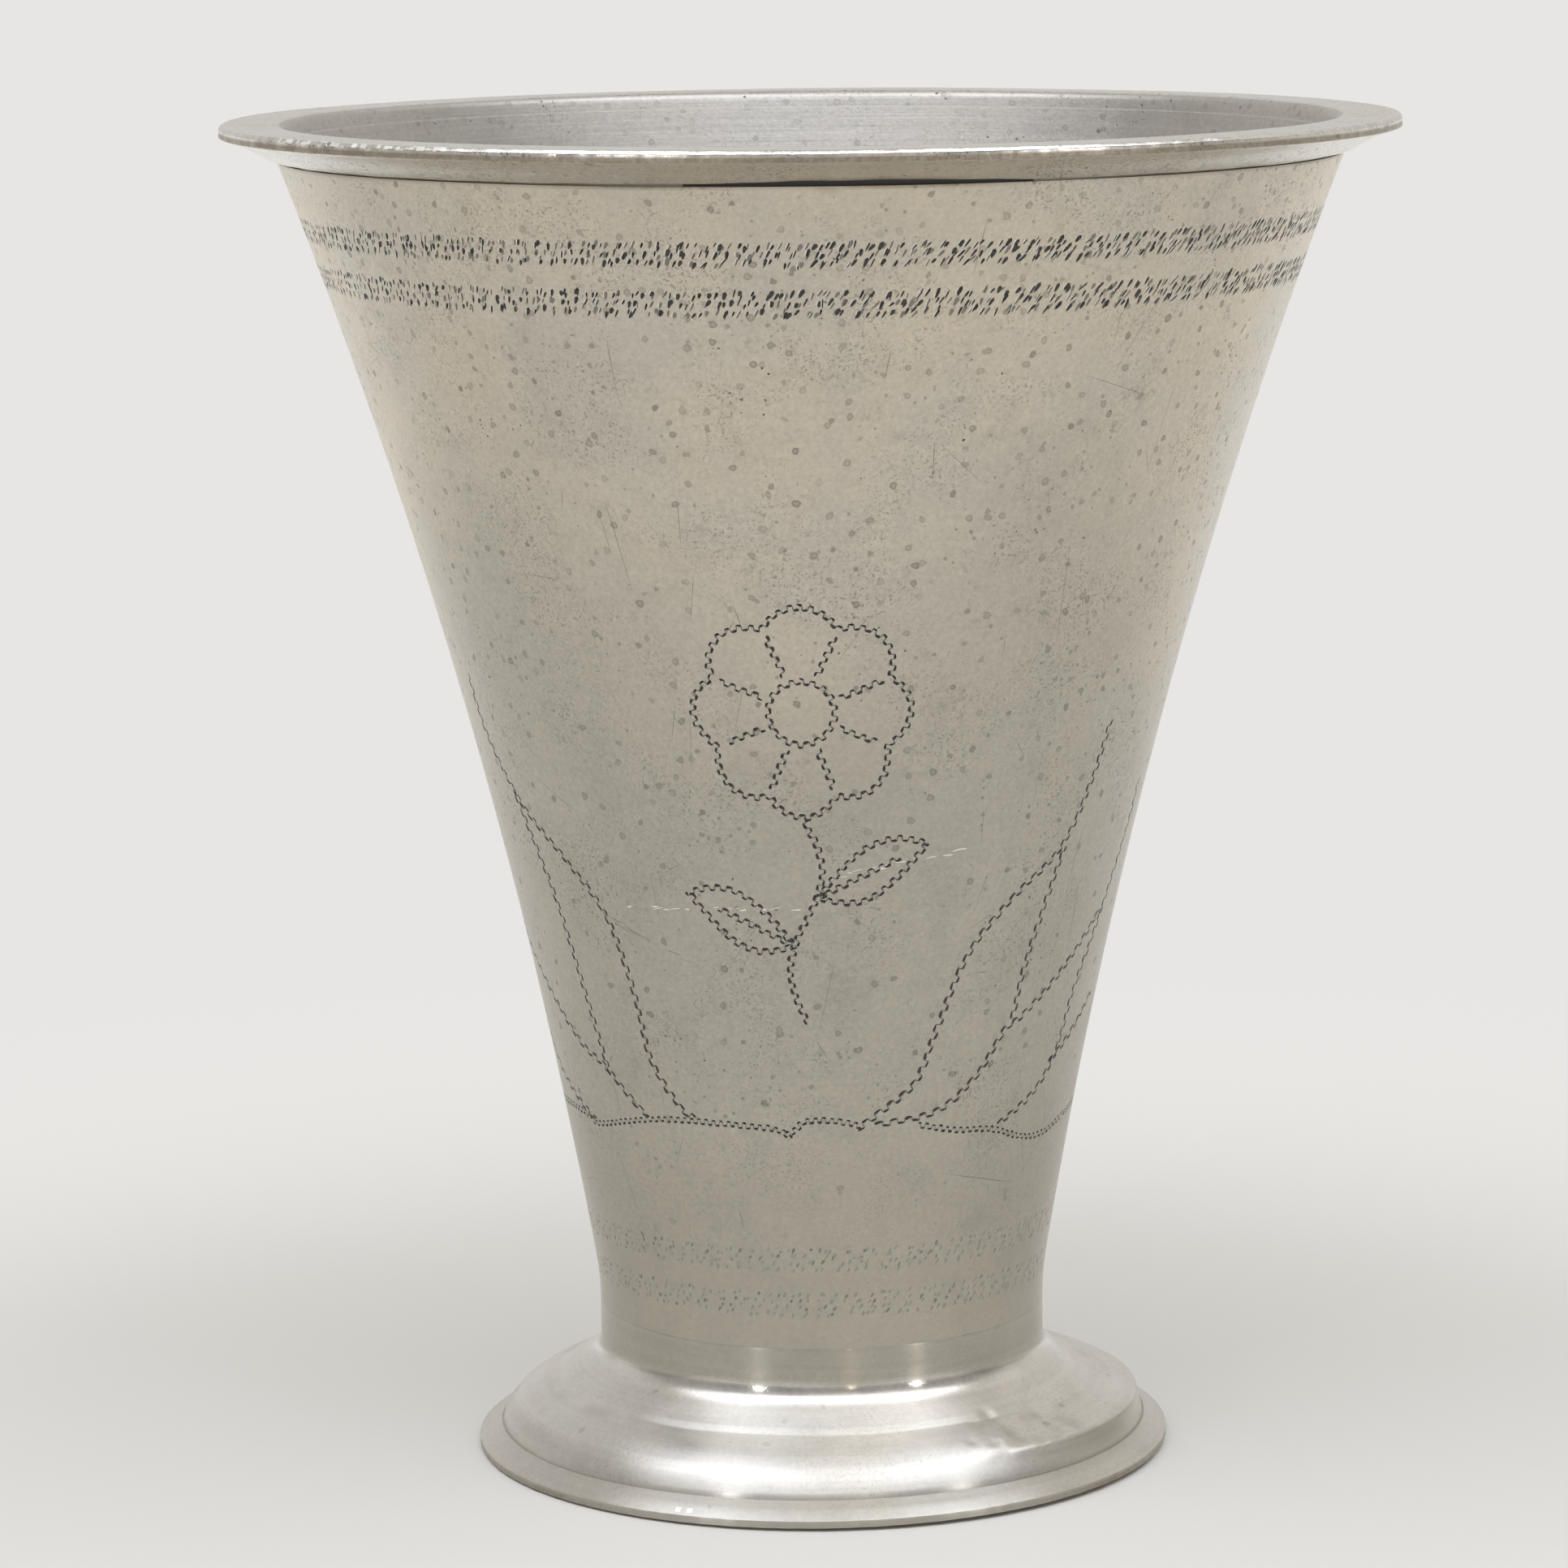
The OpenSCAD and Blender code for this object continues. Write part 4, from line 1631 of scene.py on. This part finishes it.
@dataclass
class Foot:
    """The hollow turned foot: collar, cove, shoulder, step, terrace, ovolo, groove and flange.

    A knock is its azimuth in degrees, its radius from the axis, its width and its steepness.
    """

    foot_r: float = 44.4
    collar_r: float = 28.5
    collar_z: float = 18.75
    spigot_r: float = 27.081
    spigot_z: float = 20.9
    bore_r: float = 25.481
    cove_r: float = 3.4
    shoulder: Point = (33.0, 9.63)
    terrace: Point = (33.9, 8.94)
    ovolo_head: Point = (37.0, 7.6)
    ovolo_foot: Point = (41.4, 3.0)
    ovolo_bulge: float = 0.6
    ovolo_share: float = 0.94
    groove_r: float = 0.12
    groove_foot: Point = (0.06, 0.26)
    flange_crest: Point = (43.1, 2.06)
    flange_round: float = 6.0
    edge_h: float = 1.1
    edge_round: float = 0.12
    undercut: Point = (1.3, 0.2)
    rest_r: float = 40.1
    shoulder_slope: float = 32.1
    step_round: float = 1.2
    spigot_round: float = 0.15
    hollow: Sequence[Corner] = (
        (25.481, 11.74, 0.8),
        (32.2, 7.54, 0.6),
        (35.77, 5.78, 0.6),
        (39.82, 1.47, 0.5),
    )
    columns: int = 360
    spacing: float = 0.4

    lift: float = 0.0108
    swell: float = 1.9
    swell_r: float = 41.2
    crease: tuple[Point, Point] = ((31.0, 39.6), (53.0, 31.0))
    crease_drop: float = 0.5
    dimples: int = 16
    dimple_least: Knock = (31.0, 33.5, 0.35, 0.08)
    dimple_most: Knock = (62.0, 39.5, 1.1, 0.3)
    knocks: Sequence[Knock] = (
        (39.0, 36.6, 1.3, 0.34),
        (45.5, 36.0, 1.5, -0.16),
        (33.5, 37.8, 0.8, 0.30),
        (29.5, 37.2, 0.6, 0.28),
        (50.0, 34.4, 0.9, 0.24),
    )
    # Painted glints: faces near the foot's edge at these azimuths take the bright finish, with no dent under
    # them.
    nicks: Sequence[float] = (-24.4, -22.8)
    glint_half: float = 0.5
    glint_inset: float = 0.55
    glint_width: float = 0.3
    glint_above: float = 0.8
    glint_slot: int = 1

    def _ovolo(self) -> list[Corner]:
        """The convex quarter: its chord, moved out by a parabola of a set height.

        Returns:
            Its points from the foot upwards, as sharp corners.
        """
        head, foot = np.array(self.ovolo_head), np.array(self.ovolo_foot)
        chord = foot - head
        out = np.array([-chord[1], chord[0]]) / np.linalg.norm(chord)
        part = np.linspace(0.0, self.ovolo_share, 11)[:, None]
        points = head + part * chord + out * self.ovolo_bulge * 4 * part * (1 - part)
        return [(float(r), float(z), 0.0) for r, z in points[::-1]]

    def _section(self) -> Array:
        """The foot's section, anticlockwise from the resting face.

        Returns:
            Radius and height of its points.
        """
        slope = math.radians(self.shoulder_slope)
        cove_z = self.shoulder[1] + (self.shoulder[0] - self.collar_r - self.cove_r) * math.tan(slope)
        cove_z += self.cove_r / math.cos(slope)
        cove = arc((self.collar_r + self.cove_r, cove_z), self.cove_r, 270 - self.shoulder_slope, 180, 10)
        groove_r, groove_z = self.ovolo_foot
        corners = [
            (self.rest_r, 0.0, 0.2),
            (self.foot_r - self.undercut[0], 0.0, 0.1),
            (self.foot_r, self.undercut[1], 0.05),
            (self.foot_r, self.edge_h, self.edge_round),
            (*self.flange_crest, self.flange_round),
            (groove_r + self.groove_r, groove_z - self.groove_r * 0.7, 0.05),
            (groove_r - self.groove_foot[0], groove_z - self.groove_foot[1], 0.05),
            *self._ovolo(),
            (*self.terrace, self.step_round),
            (*self.shoulder, self.step_round),
            *cove,
            (self.collar_r, self.collar_z, 0.03),
            (self.spigot_r, self.collar_z, 0.0),
            (self.spigot_r, self.spigot_z, self.spigot_round),
            (self.bore_r, self.spigot_z, self.spigot_round),
            *self.hollow,
        ]
        return filled(rounded(corners), self.spacing)

    def _dimpled(self, r: Array, degrees: Array) -> Array:
        """Depth of the small knocks: the sum of round bells at scattered and at set places.

        Args:
            r: Radii of the section.
            degrees: Azimuths in degrees.

        Returns:
            The depth in millimetres.
        """
        rng = np.random.default_rng(45)
        scattered = rng.uniform(self.dimple_least, self.dimple_most, (self.dimples, 4))
        depth = 0 * r * degrees
        for at_az, at_r, width, steep in (*scattered, *self.knocks):
            sideways = bell(degrees, at_az, math.degrees(width / at_r))
            depth = depth + steep * width * sideways * bell(r, at_r, width)
        return depth

    def _bent(self, r: Array, z: Array, azimuth: Array) -> tuple[Array, Array]:
        """Radius and height after knocks.

        The right side is bent up from the left edge by lift times the distance, fading out up the
        cove. The shoulder is pressed down on the right, beyond a slanting crease with scattered
        dimples, and the ovolo below it swells out.

        Args:
            r: Radii of the section.
            z: Heights of the section.
            azimuth: Angles round the axis.

        Returns:
            The new radii and heights.
        """
        degrees = np.degrees(azimuth)
        raised = self.lift / 2 * (self.foot_r + r * np.sin(azimuth)) * (1 - ease(z, 9.0, 15.0))
        outer = ease(z - 0.5 * (43.0 - r), -1.0, 0.2)
        zone = ease(r, 29.0, 32.5) * (1 - ease(r, 37.0, 41.0)) * (1 - ease(z, 11.0, 14.0)) * outer
        dent = bell(degrees, 98, 30) + 0.4 * bell(degrees, -150, 24)
        dent = dent + 0.11 * ripple(azimuth, z, (3, 11), 14, 41)
        dent = dent + 0.025 * ripple(azimuth, r * 4, (9, 26), 18, 46)
        dent = dent + self._dimpled(r, degrees)
        (low_az, low_r), (high_az, high_r) = self.crease
        crease_az = low_az + (low_r - r) / (low_r - high_r) * (high_az - low_az)
        past = np.radians(degrees - crease_az) * r
        dent = dent + self.crease_drop * ease(past, -0.8, 2.4) * (1 - ease(past, 5.0, 15.0))
        side = ease(degrees, 24.0, 52.0) * (1 - ease(degrees, 95.0, 150.0))
        swell = self.swell * side * bell(z, 6.8, 1.2) * outer * ease(r, 35.0, 37.5)
        spread = np.where(r < self.swell_r, np.minimum(r + swell, self.swell_r), r)
        rough = np.clip(0.5 + 0.5 * ripple(azimuth, z * 9, (20, 140), 50, 42), 0, 1.4)
        worn = ease(r, self.foot_r - 0.8, self.foot_r) * 0.10 * rough
        return spread - worn, z + raised - zone * dent

    def _values(self, r: Array, z: Array, azimuth: Array) -> dict[str, Array]:
        """What the foot's finish reads: brown film in the corners and knocks, dull patches and a bright
        cove, with painted shade on the dent at the right, the left of the ovolo, the front of the flange and
        the ovolo's lowest part.

        Args:
            r: Radii of the section.
            z: Heights of the section.
            azimuth: Angles round the axis.

        Returns:
            The brown film, the dull film and the polish at each point, none of them in the hollow; both
            films carry painted shade too.
        """
        degrees = np.degrees(azimuth)
        aside = np.abs(degrees)
        outer = ease(r, 27.5, 28.4)
        quarter = bell(z, 4.6, 1.6) * ease(r, 38.5, 39.5)
        level = z + 0.25 * ripple(azimuth, z, (5, 30), 16, 44) + 1.1 * ease(aside, 28, 52)
        # Painted shade: the dent on the right of the ovolo is darkened, as it mirrors the dim low front.
        facet_shade = bell(degrees, 61, 17) * quarter
        sunk = np.clip(self._dimpled(r, degrees), 0, 0.5) * ease(z, 3.0, 6.0)

        patch = np.clip(0.55 + 0.6 * ripple(azimuth, z * 4, (4, 40), 26, 43), 0, 1)
        terrace = bell(r, 34.9, 1.1) * ease(z, 5.5, 8.0) * patch
        groove = bell(r, self.ovolo_foot[0], 0.14) * bell(z, self.ovolo_foot[1], 0.4)
        groove = groove * (0.35 - 0.25 * bell(degrees, -80, 35))
        edge = ease(r, self.foot_r - 0.2, self.foot_r) * (1 - ease(z, 0.98, 1.12))
        edge = edge * (0.36 + 0.26 * ease(aside, 25, 60))
        grime = 0.28 * terrace + groove + edge + 0.45 * sunk + 0.12 * ease(level, 14.5, 16.0) + 0.34 * facet_shade

        # Painted shade on the left of the ovolo's lower part.
        left = 0.5 * bell(degrees, -66, 20) * quarter
        # Painted shade: the flange dulled, most at the front, where its highlight is strongest.
        flange = (0.05 + 0.26 * bell(degrees, 8, 30)) * (1 - ease(z, 2.7, 3.2))
        # The collar's own dull film above the cove, and painted shade on the ovolo's lowest part and the
        # flange.
        film = ease(level, 13.9, 14.6) + 0.3 * (1 - ease(level, 4.0, 5.6))
        patina = film + facet_shade + left + flange + 1.5 * sunk

        cove = bell(z, 13.3, 1.5) * (1 - ease(r, 31.0, 32.0))
        polish = cove + 0.5 * ease(z, 15.0, 16.0) + 0 * azimuth
        return {"grime": outer * grime, "patina": outer * patina, "polish": outer * polish}

    def _slots(self, points: Array, faces: Array) -> Array:
        """Material index of each face: painted glints at two small nicks on the foot's edge, and the rest.

        Args:
            points: Points of the foot.
            faces: Corner indices of its faces.

        Returns:
            The index of each face.
        """
        middle = points[faces].mean(axis=1)
        degrees = np.degrees(np.arctan2(middle[:, 0], -middle[:, 1]))
        inset = self.foot_r - np.hypot(middle[:, 0], middle[:, 1])
        rim = np.abs(inset - self.glint_inset) < self.glint_width
        near = np.abs(degrees[:, None] - np.array(self.nicks)).min(axis=1) < self.glint_half
        return np.where(rim & near & (middle[:, 2] > self.glint_above), self.glint_slot, 0)

    def build(self, finish: Pewter, bright: Tarnish) -> bpy.types.Object:
        """Make the foot.

        Args:
            finish: The foot's finish.
            bright: Finish of the painted glints at the nicks on its edge.

        Returns:
            The piece.
        """
        section = self._section()
        azimuth = around(self.columns)[None]
        r, z = section[:, :1], section[:, 1:]
        points = turned(*self._bent(r, z, azimuth), azimuth).reshape(-1, 3)
        faces = ring_faces(len(section), self.columns, True)
        materials = [finish.material(), bright.material()]
        slots = self._slots(points, faces)
        piece = make_piece("turned_foot", points, [faces], materials, slots, self._values(r, z, azimuth))
        seat(piece, "pewter_foot", "foot")
        return piece


@dataclass
class SolderSeams:
    """The solder films: two are the frame's own, and the foot's lies behind the wall's edge."""

    nodes: Mapping[str, bpy.types.Object]
    kept: Sequence[str] = ("rim_solder", "floor_solder")
    spigot_r: float = 27.081
    socket_r: float = 27.231
    cover_r: float = 28.2
    collar_z: float = 18.75
    joint_z: float = 18.9
    spigot_z: float = 20.9
    columns: int = 192

    def _section(self) -> Array:
        """The foot film's section, anticlockwise: flat on the collar, then up round the spigot.

        Returns:
            Radius and height of its points.
        """
        return np.array(
            [
                (self.spigot_r, self.collar_z),
                (self.cover_r, self.collar_z),
                (self.cover_r, self.joint_z),
                (self.socket_r, self.joint_z),
                (self.socket_r, self.spigot_z),
                (self.spigot_r, self.spigot_z),
            ]
        )

    def build(self, finish: Solder) -> bpy.types.Object:
        """Make the foot's film and give the kept films their material.

        Args:
            finish: The solder's finish.

        Returns:
            The foot's film.
        """
        material = finish.material()
        for name in self.kept:
            mesh = self.nodes[name].data
            mesh.materials.clear()
            mesh.materials.append(material)
            LOG.info("%s: %d faces, kept", name, len(mesh.polygons))
        section = self._section()
        faces = ring_faces(len(section), self.columns, True)
        piece = make_piece("foot_seam", lathed(section, self.columns), [faces], [material])
        seat(piece, "solder", "foot_solder")
        return piece


@dataclass(frozen=True)
class Lamp:
    """A small area lamp that faces the goblet."""

    name: str
    at: Place
    watts: float
    colour: Colour = (1.0, 1.0, 1.0)
    side: float = 0.05
    aim: Place = (0.0, 0.0, 0.08)

    def build(self) -> None:
        """Put the lamp into the scene."""
        data = bpy.data.lights.new(self.name, "AREA")
        data.shape = "RECTANGLE"
        data.size = self.side
        data.size_y = self.side
        data.energy = self.watts
        data.color = self.colour
        made = bpy.data.objects.new(self.name, data)
        made.location = self.at
        made.rotation_euler = (Vector(self.aim) - Vector(self.at)).to_track_quat("-Z", "Y").to_euler()
        bpy.context.scene.collection.objects.link(made)


@dataclass
class Studio:
    """A pale floor, a soft sky, small lamps for the glints and the camera."""

    floor_r: float = 12.0
    floor_first: float = 20.0
    floor_rings: int = 24
    floor_columns: int = 96
    lit_zone: Point = (0.12, 0.36)
    behind_zone: Point = (0.05, 0.5)
    near_colour: Colour = (0.686, 0.664, 0.622)
    far_colour: Colour = (0.80, 0.79, 0.775)
    beyond_colour: Colour = (1.05, 1.04, 1.02)

    sky_tint: Colour = (1.0, 0.98, 0.95)
    key_tint: Colour = (0.955, 1.0, 1.085)
    even_light: float = 0.52
    key_light: float = 2.38
    back_light: float = 0.20
    right_light: float = 0.17
    low_back: float = 0.16
    low_front: float = -0.14
    lamps: Sequence[Lamp] = (
        Lamp("glint_left", (-0.53, -0.82, 0.24), 0.50),
        Lamp("glint_middle", (0.24, -0.97, 0.08), 0.09, (1.0, 0.85, 0.65)),
        Lamp("glint_right", (0.735, -0.66, 0.18), 0.50),
    )

    camera_at: Place = (-4.15, -733.8, 208.0)
    pitch: float = 9.488
    roll: float = -0.62
    focal_px: float = 7199.2
    sensor: float = 36.0
    clip_end: float = 100.0

    @staticmethod
    def _seen(graph: Graph) -> Signal:
        """Tell which rays see the floor as a backdrop.

        Args:
            graph: Graph of the floor's material.

        Returns:
            1 for rays that come from the camera or a mirror-like surface, otherwise 0.
        """
        camera = graph.node("ShaderNodeLightPath", {}, {}, "Is Camera Ray")
        glossy = Signal(graph, camera.socket.node.outputs["Is Glossy Ray"])
        return graph.node("ShaderNodeMath", {"operation": "MAXIMUM"}, {0: camera, 1: glossy})

    def floor(self) -> bpy.types.Object:
        """A round floor: rings of points whose radii grow in a fixed ratio, and a fan at the centre.

        Near the goblet it is lit and takes the shadow; further out it goes over into an even pale
        backdrop, which is a little brighter behind the goblet in what its sides mirror.

        Returns:
            The floor.
        """
        columns = self.floor_columns
        radii = np.geomspace(self.floor_first, self.floor_r / MM, self.floor_rings)
        rings = lathed(np.stack([radii, 0 * radii], axis=-1), columns)
        faces = [ring_faces(len(radii), columns, False)[:, ::-1], fan(0, columns, len(rings))]
        made = bpy.data.materials.new("pale_floor")
        made.use_nodes = True
        graph = Graph(made.node_tree)
        at = graph.node("ShaderNodeTexCoord", {}, {}, "Object")
        away = graph.node("ShaderNodeVectorMath", {"operation": "LENGTH"}, {"Vector": at}, "Value")
        matt = graph.node("ShaderNodeBsdfDiffuse", {}, {"Color": paint(self.near_colour)})
        behind = graph.axes(at)[1].step(*self.behind_zone)
        camera = graph.node("ShaderNodeLightPath", {}, {}, "Is Camera Ray")
        pale = graph.blend(behind * (1.0 - camera), self.far_colour, self.beyond_colour)
        even = graph.node("ShaderNodeEmission", {}, {"Color": pale, "Strength": 1.0})
        factor = away.step(*self.lit_zone) * self._seen(graph)
        shader = graph.node("ShaderNodeMixShader", {}, {0: factor, 1: matt, 2: even})
        graph.node("ShaderNodeOutputMaterial", {}, {"Surface": shader})
        floor = make_piece("pale_floor", np.concatenate([rings, np.zeros((1, 3))]), faces, [made])
        return floor

    def sky(self) -> None:
        """World light by direction: a bright crescent in front above, a dim low front and a pale back."""
        world = bpy.data.worlds.new("soft_sky")
        bpy.context.scene.world = world
        world.use_nodes = True
        graph = Graph(world.node_tree)
        x, y, z = graph.axes(graph.node("ShaderNodeTexCoord", {}, {}, "Generated"))
        key = z.step(0.60, 0.76) * z.step(0.985, 0.95) * (0.0 - y).step(-0.28, 0.08)
        low = z.step(0.60, 0.25)
        back = y.step(-0.10, 0.50)
        right = x.step(0.1, 0.6) * z.step(0.35, 0.6)
        light = key * self.key_light + back * (right * self.right_light + self.back_light)
        light = light + low * (back * self.low_back + self.low_front) + self.even_light
        tint = graph.blend(key, self.sky_tint, self.key_tint)
        camera = graph.node("ShaderNodeLightPath", {}, {}, "Is Camera Ray")
        seen = graph.blend(camera, graph.dim(tint, light), self.far_colour)
        shader = graph.node("ShaderNodeBackground", {}, {"Color": seen, "Strength": 1.0})
        graph.node("ShaderNodeOutputWorld", {}, {"Surface": shader})

    def camera(self) -> None:
        """The photograph's camera: pitched down from behind -Y and rolled a little."""
        data = bpy.data.cameras.new("camera")
        data.sensor_width = self.sensor
        data.lens = self.focal_px * self.sensor / IMAGE_SIDE
        data.clip_end = self.clip_end
        made = bpy.data.objects.new("camera", data)
        at = Matrix.Translation(Vector(self.camera_at) * MM)
        aim = Matrix.Rotation(math.radians(90 - self.pitch), 4, "X")
        made.matrix_world = at @ aim @ Matrix.Rotation(math.radians(self.roll), 4, "Z")
        bpy.context.scene.collection.objects.link(made)
        bpy.context.scene.camera = made

    def build(self) -> None:
        """Set up the floor, the light and the camera."""
        self.floor()
        self.sky()
        for lamp in self.lamps:
            lamp.build()
        self.camera()
        bpy.context.scene.view_settings.view_transform = "Standard"


def main() -> None:
    """Build every piece in the frame and light it."""
    logging.basicConfig(level=logging.INFO, format="%(name)s: %(message)s")
    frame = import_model()
    curve = WallCurve()
    body = Pewter("pewter_wall", pitting=0.5, specks=0.75, grooved=0.3)
    inside = Pewter(
        "pewter_lining",
        warm=(0.485, 0.457, 0.42),
        cool=(0.505, 0.48, 0.447),
        roughness=0.42,
        turning=0.6,
        pitting=0.8,
        spots=0.6,
        specks=0.5,
        grooved=0.3,
    )
    lip = Pewter(
        "pewter_lip",
        warm=(0.63, 0.595, 0.53),
        cool=(0.65, 0.63, 0.59),
        roughness=0.28,
        turning=0.3,
        spots=0.6,
        specks=1.2,
    )
    foot = Pewter(
        "pewter_turned",
        warm=(0.65, 0.615, 0.56),
        cool=(0.655, 0.635, 0.60),
        roughness=0.34,
        turning=0.5,
        pitting=0.0,
        spots=0.6,
        specks=0.25,
        relief=0.025,
        grooved=0.9,
    )
    dark = Tarnish("cut_dark", (0.066, 0.063, 0.062))
    worn = Tarnish("cut_worn", (0.24, 0.226, 0.195), 0.45, 0.8)
    # Bright scuffs and bare chips, which also paint glints and highlights.
    bright = Tarnish("scuff_bright", (0.78, 0.76, 0.72), 0.4, 0.6)
    faint = Tarnish("cut_faint", (0.34, 0.32, 0.28), 0.42, 0.9)
    BowlWall(curve).build(body, inside, (dark, worn, bright, faint))
    RimRing(curve).build(lip, inside, bright)
    BowlFloor().build(inside)
    Foot().build(foot, bright)
    SolderSeams(frame["nodes"]).build(Solder())
    Studio().build()


if __name__ == "__main__":
    main()
